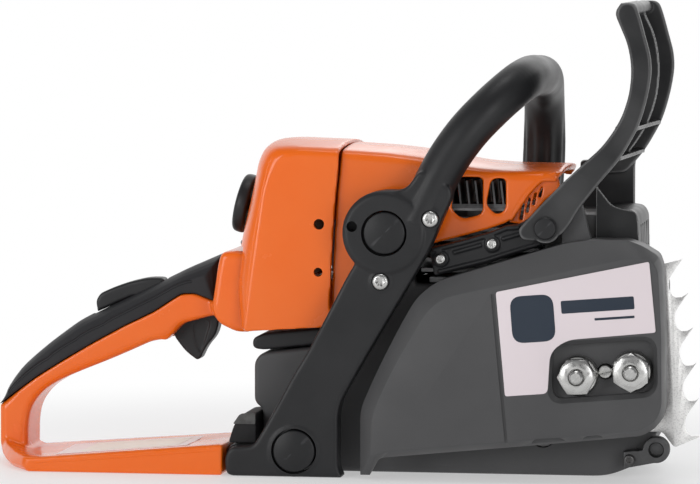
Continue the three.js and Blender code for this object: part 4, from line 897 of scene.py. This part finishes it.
def bar_fasteners():
    for i, c in enumerate(STUDS):
        rows = [(0.5, -87)] + thread_profile(3.9, -87, -60) + [(3.9, -21)]
        finished(bevelled(turned(f"bar_stud_{i + 1}", rows, c, "y", 64), 0.1, 1, 50), ZINC)
        turns = [(0.035, pi / 2)[i] + k * pi / 3 for k in range(6)]
        corners = around(c, [(NUT_CORNER * cos(a), NUT_CORNER * sin(a)) for a in turns])
        hexagon = layers("h", [(-83.3, corners), (-73.9, corners)])
        dome = [(0.5, -83.35), (8.6, -83.35), (9.9, -82.6), (11.9, -80.8), (12.5, -79), (12.5, -70)]
        flange = [(3, -74.3), (10.6, -74.3), (11.5, -73.2), (11.7, -72.2), (11.7, -70.6), (3, -70.6)]
        nut = fused(kept_in(hexagon, turned("d", dome, c)), turned("f", flange, c))
        nut = cut(nut, rod("b", c, 4.25, -90, -60, 64), turned("k", [(4.2, -82.4), (5.2, -83.6)], c, "y", 64))
        finished(bevelled(nut, 0.25, 3, 30), ZINC, node=f"bar_nut_{i + 1}")
    screw = turned("tensioner_screw", [(0.5, -73), (3.4, -73), (3.9, -72.4), (3.9, -27), (0.5, -27)],
                   TENSION, "y", 72)
    screw = cut(screw, slab("s", around(TENSION, [(-5.34, -0.55), (-4.9, -2.19), (5.34, 0.55), (4.9, 2.19)]),
                            -74, -70.4))
    finished(bevelled(screw, 0.15, 2), STEEL, "tension_screw")


# ---- sprocket cover, label, bumper and chain catcher
COVER_SIDE = [
    (17, 2), (17, 40, 6), (23, 54, 6), (31, 71, 8), (42, 92, 6), (49, 104, 6), (55, 110, 5), (63, 115.5, 5),
    (86, 122.5, 8), (104, 128, 8), (125, 134.5, 8), (138, 138.3, 6), (153, 140, 4), (171.5, 140, 3),
    (180, 137, 3), (189, 131.6, 2), (191.5, 125, 3), (193.2, 88, 8), (193.7, 46, 5), (192, 37.5, 4),
    (188.6, 32.5, 4), (181, 27.5, 5), (142, 23.4, 8), (102, 19.3, 8), (64, 15.6, 8), (28, 12, 3), (22.5, 2),
]
COVER_RAISED = [
    (24, 14), (25, 38, 6), (31, 52, 6), (38, 66, 8), (47, 82, 6), (56, 97, 6), (62, 103, 5), (69, 107, 5),
    (88, 111.5, 8), (104, 115, 8), (125, 119.6, 8), (138, 122.6, 6), (153, 126, 4), (171, 130, 3),
    (179, 131, 3), (186.4, 129, 2), (190, 123, 3), (191.9, 88, 8), (192.4, 46, 5), (190.6, 40, 4),
    (187.4, 36, 4), (180, 31.5, 5), (142, 27.5, 8), (102, 23.4, 8), (64, 19.7, 8), (34, 16.6, 3), (27, 14.5),
]
NUT_RECESS = [(126.6, 45.5, 10), (190.6, 51, 10), (189.6, 86.5, 10), (126.9, 81.5, 10)]
LABEL = [(97, 110, 1.5), (185, 128.5, 1.5), (189, 88, 1.5), (138, 83, 6), (128.5, 76, 6), (127, 52, 3),
         (102.5, 50, 1.5)]


def rounded_pair(first, second, share):
    return [(a[0] + (b[0] - a[0]) * share, a[1] + (b[1] - a[1]) * share) for a, b in zip(first, second)]


def sprocket_cover():
    side, raised = outline(COVER_SIDE, steps=3), outline(COVER_RAISED, steps=3)
    outer = layers("sprocket_cover", [
        (-48, side), (-69.4, side), (-77.5, rounded_pair(side, raised, 0.96)), (-78, inset(raised, 0.35)),
    ])
    inner = layers("in", [(-40, inset(side, 2.6)), (-69.8, inset(side, 2.6)), (-75.5, inset(raised, 2.4))])
    pad = slab("pad", [(123, 42), (194, 48), (193, 91), (124, 85)], -77.9, -48, 6)
    web = slab("fin", [(132.6, 134), (132.6, 146, 1), (138, 150, 2), (142, 160, 1), (144, 160, 1),
                       (149, 141, 1.5), (152, 134)], -58, -50.5, 0, 0.6)
    room = layers("k", [(y, inset(rim, 0.3)) for y, rim in ((-49, side), (-69.5, side), (-77.8, raised))])
    skin = fused(cut(outer, inner), kept_in(pad, room), web)
    groove = slab("g", [(94, 108.6), (95.8, 108.6), (104.4, 20.4), (102.6, 20.4)], -80, -77)
    mouth, floor = outline(NUT_RECESS), outline(shrunk(NUT_RECESS, 2.6))
    recess = layers("r", [(-80, inset(mouth, -0.8)), (-78, mouth), (-76.6, rounded_pair(mouth, floor, 0.3)),
                          (-74.6, floor), (-70, floor)])
    arches = [slab("p", [(x0, 14), (x1, 16), (x1 - 1.5, z + 1, 4), (x0 + 1.5, z, 5)], -80, -72.4)
              for x0, x1, z in ((116, 138, 25.6), (145, 160, 27.6))]
    skin = cut(skin, groove, recess, *arches,
               rod("t", TENSION, 4.6, -80, -40, 64), *[rod("s", c, 4.4, -80, -40, 48) for c in STUDS],
               block("m", 10, 60, -67, -40, -2, 44))
    finished(bevelled(skin, 0.45, 2, 24), GREY)
    label = slab("side_label", LABEL, FACE - 0.75, FACE - 0.35, 0, 0)
    finished(bevelled(label, 0.12, 2), STICKER)
    # plain print: a dark rounded field and two stripes, on the label's own slope
    slope = radians(4.5)
    c, s = cos(slope), sin(slope)
    marks = [("label_field", (107, 80.5, 25, 27), 7), ("label_stripe_1", (135, 98, 42, 7.4), 1),
             ("label_stripe_2", (154, 94.4, 23, 1.4), 0.5)]
    for name, (x0, z0, w, h), r in marks:
        sloped = [(x0, z0), (x0 + w * c, z0 + w * s), (x0 + w * c - h * s, z0 + w * s + h * c),
                  (x0 - h * s, z0 + h * c)]
        finished(slab(name, sloped, FACE - 0.83, FACE - 0.74, r), INK)


SCOOP = [(-6.6, -9.6, 2), (-7.9, -12.6, 2), (-7.9, -17.4, 2), (-6.4, -20.6, 1.5), (-3.7, -22.3, 1),
         (0, -22, 0.8)]
BUMPER_TIPS = [(201, 127.5), (204.5, 108), (207.5, 88), (209.5, 67.5), (211, 47), (212, 24.5)]


def bumper():
    front = []
    for i, (x, z) in enumerate(BUMPER_TIPS):
        front.append((x, z))
        if i + 1 < len(BUMPER_TIPS):
            front += around((x, z), SCOOP)
    top = [(180.8, 124, 3), (190, 124.5, 1)]
    foot = [(206, 22, 1), (197, 18, 2), (190, 27, 2), (180.8, 27, 3)]
    plate = slab("spiked_bumper", top + front + foot, -42.4, -39.4)
    finished(bevelled(plate, 0.35, 2, 20), BUMPER)
    c = CATCHER_PIN
    ring = rod("chain_catcher", c, 7.8, -50, -42.8, 72, 0.8)
    arm = slab("a", [(168, 6), (187, 9.8), (187, 18), (168, 16)], -50, -42.8, 0, 0.6)
    base = slab("b", [(168, 6), (175, 7.5), (175, 17), (168, 16)], -50, -39.4, 0, 0.6)
    body = moulded(joined(ring, arm, base), 0.5, 3)
    body = cut(body, rod("d", c, 3.9, -51, -44.2, 64), rod("e", CATCHER_SCREW, 1.8, -51, -38, 32),
               turned("f", [(3.8, -48.8), (5, -50.6)], c, "y", 64))
    finished(crisp(body), DARK_ALLOY)
    lobed_screw("chain_catcher_screw", CATCHER_SCREW, 3.2, -52.2, 2, 1.6, -39.5, look=DARK_STEEL)


# ---- chain brake lever and its carrier
GUARD_FRONT = [(175, 275.5, 4), (178, 267, 8), (181, 256, 8), (184, 245, 8), (184.6, 236, 8), (183, 225, 8),
               (180, 213, 8), (176.5, 203, 8), (167.5, 187, 8), (156, 173.6, 3)]
GUARD_BACK = [(133, 171.5, 3), (147, 184.5, 6), (156, 192.5, 6), (163, 202, 8), (168, 211, 8), (171.8, 223, 8),
              (173, 234, 8), (172.6, 243, 8), (170.5, 253, 8), (166.5, 262, 8), (163.8, 270, 4),
              (167, 275.6, 4)]
RIGHT_ARM = [(108, 145, 5), (110, 139.5, 5), (118, 138.6, 6), (132, 141, 6), (138, 148, 6), (143, 157, 6),
             (156, 173.6, 6), (165, 184, 4), (160, 194, 4), (147, 184.5, 4), (133, 171.5, 6), (118, 156, 6)]


def band(name, points, thick, y0, y1, edge=0.0):
    """A strip of even thickness that follows an open x-z line, from y0 to y1."""
    line = [Vector((x, z)) for x, z in points]
    other = []
    for i, p in enumerate(line):
        t = (line[min(i + 1, len(line) - 1)] - line[max(i - 1, 0)]).normalized()
        other.append(tuple(p + Vector((t.y, -t.x)) * thick))
    return slab(name, [tuple(p) for p in line] + other[::-1], y0, y1, 0, edge)


def hand_guard():
    right, left = -66, 37
    wall = GUARD_FRONT + GUARD_BACK
    near = slab("hand_guard", wall, right, -59.5, 0, 1.6)
    far = slab("a", [(x + 5, z, *r) for x, z, *r in GUARD_FRONT] + GUARD_BACK, left - 4.5, left, 0, 1.3)
    back = [(p.x, p.y) for p in catmull([(x, z, 0) for x, z, *_ in GUARD_BACK[2:]], 2.5)]
    skin = band("b", back, 3.2, right + 2, left - 2)
    rib = [band("c", back, 11.6, y, y + 2) for y in (-18.6, -12.6)]
    cap = slab("d", [(163.8, 270, 2), (167, 275.6, 3), (175, 275.5, 4), (177, 270, 3), (172, 267.6, 2)],
               right + 2, left - 2, 0, 0.8)
    cross = []
    for x0, x1, z in ((151, 167, 185.2), (163.6, 176.6, 202.4)):
        ends = ((right + 4, 0), (left - 2, 5))  # the far end reaches 5 mm further forward
        cross.append(layers("e", [(y, [(x0, z), (x1 + more, z), (x1 + more, z + 2.3), (x0, z + 2.3)])
                                  for y, more in ends]))
    arm = slab("f", RIGHT_ARM, right, -59.5, 0, 1.6)
    boss = rod("g", GUARD_PIVOT, 8.6, right, -59, 96, 0.8)
    far_arm = slab("h", [(116, 138, 6), (112, 150, 6), (122, 166, 4), (133, 171, 1), (133.5, 180.2, 2),
                         (143, 180.6, 2), (160, 199), (170, 199), (167, 188), (165.8, 177), (165.8, 150, 3),
                         (150, 140, 6)], left - 0.4, 43)
    body = joined(near, far, skin, cap, arm, boss, far_arm, *rib, *cross)
    moulded(body, 0.6, 2)
    body = cut(body, rod("i", GUARD_PIVOT, 4.1, -70, -50, 48), rod("j", GUARD_PIVOT, 4.1, 30, 50, 48))
    finished(crisp(body), EDGED, "guard")
    pins = {
        "guard_pivot_right": [(0.5, -69), (5.6, -69), (6.5, -68.2), (6.5, -66.4), (3.7, -66.4), (3.7, -56.2),
                              (0.5, -56.2)],
        "guard_pivot_left": [(0.5, 50), (5.2, 50), (6, 49.2), (6, 43.4), (3.7, 43.4), (3.7, 37.2), (0.5, 37.2)],
    }
    for name, rows in pins.items():
        pin = turned(name, rows, GUARD_PIVOT, "y", 72)
        finished(bevelled(pin, 0.15, 2), BLACK)


CARRIER = [(55, 132), (58, 116.8, 2), (88, 124, 1), (103, 129.3, 1), (122, 135.5, 2), (130, 140, 4),
           (131.6, 149, 4), (127, 154.5, 5), (118, 155, 6), (108, 147.5, 4), (100, 146.8, 2), (90, 142.6, 3),
           (74, 138, 3), (57, 133.6)]


def brake_carrier():
    plate = slab("brake_carrier", CARRIER, -54.6, -46, 0, 0.8)
    rims = [band("r", [(57, 133.2), (74, 137.6), (90, 142.2), (100, 146.4), (108, 147)], 2.2, -56, -54),
            band("s", [(60.5, 120.4), (88, 127.4), (103, 132.4), (120, 137.6)], 2, -56, -54),
            band("t", [(69, 131.4), (85.5, 136.2)], 1.6, -55.8, -54),
            band("u", [(97.5, 139.6), (110, 143.4)], 1.6, -55.8, -54)]
    bosses = [rod("v", c, 4.6, -56, -50, 48, 0.4) for c in CARRIER_SCREWS]
    body = moulded(joined(plate, *rims, *bosses), 0.55, 3)
    body = cut(body, *[rod("w", c, 2.7, -60, -40, 32) for c in CARRIER_SCREWS])
    finished(crisp(body), BLACK)
    for i, c in enumerate(CARRIER_SCREWS):
        lobed_screw(f"carrier_screw_{i + 1}", c, 3.2, -58.4, 2.1, 2.3, -45)
    for i, c in enumerate(FRAME_SCREWS):
        lobed_screw(f"frame_screw_{i + 1}", c, 4.7, -72.4, 2.3, 2.4, -47)


# ---- engine housing
HOUSING_SIDE = [
    (-46, 4, 6), (-46, 36, 2), (-51, 40, 3), (-51, 64, 6), (-47, 69, 4), (-18, 72.6, 3), (6, 76, 3),
    (14, 103, 5), (40, 111, 4), (118, 111, 3), (128, 120, 4), (160, 125, 4), (182, 121, 6), (187, 111, 5),
    (187, 26, 5), (177, 8, 6), (158, 0, 8), (-38, 0, 6),
]


def engine_housing():
    body = slab("engine_housing", HOUSING_SIDE, -39, 44, 0, 2.2)
    lug = slab("a", [(20, 100), (18, 138, 6), (24, 155, 8), (38, 155, 8), (44, 138, 6), (44, 105)], -39, -28,
               0, 1)
    saddle = block("b", 14, 60, -39, -28, 90, 108, 2)
    body = moulded(joined(body, lug, saddle), 1.0, 4)
    body = cut(body, rod("c", CRANK, 38, -40, -17), rod("d", CRANK, 16, -18, 18, 64),
               rod("e", CRANK, 27.5, -12, 12, 64),
               turned("f", [(23.2, 70), (23.2, 115)], (CRANK[0], 0, 0), "z", 64),
               rod("g", CRANK, 49, 21, 45, 96), rod("h", CRANK, 16.2, 16, 22, 64),
               block("i", 122, 146, 21, 45, 46, 72, 1), rod("j", (120, 24), 7.8, -40, -20, 48),
               block("k", 134, 166, -40, -28, 39.4, 50.6, 1), rod("l", TENSION, 4.6, -40, -26, 48),
               *[rod("m", c, 4.3, -40, -20, 48) for c in STUDS], rod("n", OIL_CAP, 11.4, 30, 45, 64),
               rod("o", AV_LOWER, 4.3, -40, -22, 32), rod("p", AV_UPPER, 4.3, -40, -27, 32),
               block("q", -38, -4, -24, 32, -1, 30, 2), block("r", 12, 32, -28, 36, -1, 70, 2))
    finished(crisp(body), PAN)
    # black slab between the housing and the tank: painted shade under the filter cover, where the housing's top
    # lies in shadow
    floor = slab("shade_slab_under_cover", [(-52.5, 71.5, 3), (-52.5, 77.5, 5), (-45, 80.6, 2), (3, 85.6, 1),
                                           (3, 76.8, 1), (-18, 73.6, 1), (-46, 70.6, 2)], -36, 40, 0, 1.4)
    finished(moulded(floor, 0.8, 4), BLACK)


# ---- muffler, its guard and the cylinder
def exhaust():
    side = [(119, 113.5, 2), (129, 122.4, 2), (158, 127.6, 3), (171, 126, 3), (171, 147, 6), (164, 153, 4),
            (126, 153, 4), (119, 148, 4)]
    can = slab("muffler", side, -34, 31, 0, 2)
    seam = band("s", [(126, 153.4), (164, 153.4), (171.4, 147.5), (171.4, 127)], 1.2, -2, 0)
    can = moulded(joined(can, seam), 0.7, 3)
    can = cut(can, turned("m", [(5, 160), (5, 175)], (0, -9.5, 141), "x", 48))
    finished(crisp(can), DARK_STEEL)
    shell = slab("muffler_guard",
                 [(150, 154, 2), (163, 155.6, 4), (172, 154.5, 6), (175, 150, 4), (175.5, 128), (172, 127),
                  (172, 148, 6), (164, 153.4, 4), (150, 153.6)], -35, 33)
    flank = slab("f", [(150.5, 169.5), (150.5, 130), (175.5, 128.5), (175.5, 137.8), (174.5, 152.3, 2),
                       (172.8, 154.8, 2), (168.7, 155.2), (164.1, 156.3), (159.2, 158, 3), (152.4, 166.6)],
                 -37.4, -34.8)
    shell = moulded(joined(shell, flank), 0.55, 2)
    shell = cut(shell, *[block("x", 160, 180, y, y + 5, 131, 146) for y in (-24, -12, 0, 12, 22)])
    finished(crisp(shell), EDGED)
    # dark air duct behind the shroud's left windows, and cooling fins behind the right ones
    duct = fused(block("cooling_duct", 60, 104, 38.5, 40, 118, 173.5),
                 slab("q", [(20, 104.8), (40, 110.9), (61, 110.9), (61, 136), (20, 136)], 38.5, 40))
    finished(bevelled(duct, 0.3, 2), BLACK)
    fins = [slab("p", [(x, 157), (x + 1.1, 157), (x - 0.6, 171.5), (x - 1.7, 171.5)], -38.5, -14)
            for x in range(66, 102, 5)]
    base = block("head_fins", 60, 102, -38.5, -14, 155.5, 158)
    finished(bevelled(fused(base, *fins), 0.2, 1), DARK_ALLOY)


# ---- starter side
STARTER_SIDE = [(30, 30, 12), (38, 14, 10), (56, 6, 10), (90, 4, 12), (118, 10, 12), (132, 24, 12),
                (138, 46, 12), (139, 80, 8), (139, 112, 10), (136, 124, 8), (122, 128, 8), (96, 126, 12),
                (70, 122, 14), (48, 112, 14), (34, 92, 14), (27, 60, 14)]


def towards(points, c, k):
    return [(c[0] + (x - c[0]) * k, c[1] + (z - c[1]) * k) for x, z in points]


def starter():
    side = outline(STARTER_SIDE, steps=5)
    crown = [(44.4, 1), (69, 1), (71, 0.992), (73, 0.975), (75, 0.95), (76.6, 0.915), (77.6, 0.875), (78, 0.83)]
    outer = layers("starter_cover", [(y, towards(side, CRANK, k)) for y, k in crown])
    inside = inset(side, 2.5)
    inner = layers("in", [(40, inside)] + [(y - 2.6, towards(inside, CRANK, k)) for y, k in crown[1:]])
    skin = fused(cut(outer, inner), rod("a", CRANK, 6, 52, 77, 48), rod("b", TUBE_FOOT, 12.6, 66, 77.6, 64))
    slots, slot = [], [(24, -2.4, 1.6), (41, -3.6, 2.4), (41, 3.6, 2.4), (24, 2.4, 1.6)]
    for i in range(14):
        a = 2 * pi * i / 14 + 0.2
        c, s = cos(a), -sin(a)
        pts = [(CRANK[0] + u * c - w * s, CRANK[1] + u * s + w * c, r) for u, w, r in slot]
        slots.append(slab("s", pts, 70, 80))
    ring = tube("r", [(CRANK[0] + 21 * cos(t), 77.9, CRANK[1] + 21 * sin(t))
                      for t in (2 * pi * k / 40 for k in range(41))], 0.9, 10, 2.5)
    skin = cut(skin, *slots, turned("z", [(3, 110), (3, 140)], (*ROPE, 0), "z", 32),
               rod("y", TUBE_FOOT, 10.6, 72.6, 80, 64), rod("x", TUBE_FOOT, 4.4, 60, 80, 32))
    skin = joined(skin, ring)
    moulded(skin, 0.85, 4)
    finished(skin, PAN)
    for i, (x, z) in enumerate(((36, 24), (132.5, 33), (134, 118), (44, 104))):
        lobed_screw(f"starter_screw_{i + 1}", (x, z), 3.6, 78.4 - 2.3, 2.3, 2.2, 66)
    side = around((ROPE[0], 0), [(-22, 140, 4), (22, 140, 4), (19, 150, 6), (-19, 150, 6)])
    grip = slab("starter_grip", side, ROPE[1] - 7, ROPE[1] + 7, 0, 3)
    neck = turned("n", [(5.6, 131.4), (6.6, 132), (6.8, 134), (6.4, 138), (7.5, 141)], (*ROPE, 0), "z", 64)
    grip = moulded(joined(grip, neck), 0.5, 4)
    grip = cut(grip, turned("h", [(2.3, 130), (2.3, 145)], (*ROPE, 0), "z", 32))
    finished(grip, BLACK, "pull_grip")
    rope = tube("starter_rope", [(*ROPE, z) for z in (112, 121, 130, 139)], 1.6, 24, 0.3,
                lambda share, angle: 0.15 * cos(3 * angle + 24 * share))
    rope.data.materials.append(CORD)
    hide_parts("starter_rope")
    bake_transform(crisp(rope))


# ---- everything else keeps its CAD shape
def carried_over():
    for entry in frame["record"]["subparts"]:
        node = frame["nodes"][entry["node"]]
        if not node.hide_render:
            node.data.materials.clear()
            node.data.materials.append(LOOKS[entry["material_slot"]][0])


filter_cover()
top_shroud()
tank_handle()
handle_grip()
levers()
twist_lock()
filler_cap("fuel_cap", FUEL_CAP, 40, "fuel_filler")
filler_cap("oil_cap", OIL_CAP, 44, "oil_filler")
handlebar()
bar_fasteners()
sprocket_cover()
bumper()
hand_guard()
brake_carrier()
engine_housing()
exhaust()
starter()
carried_over()
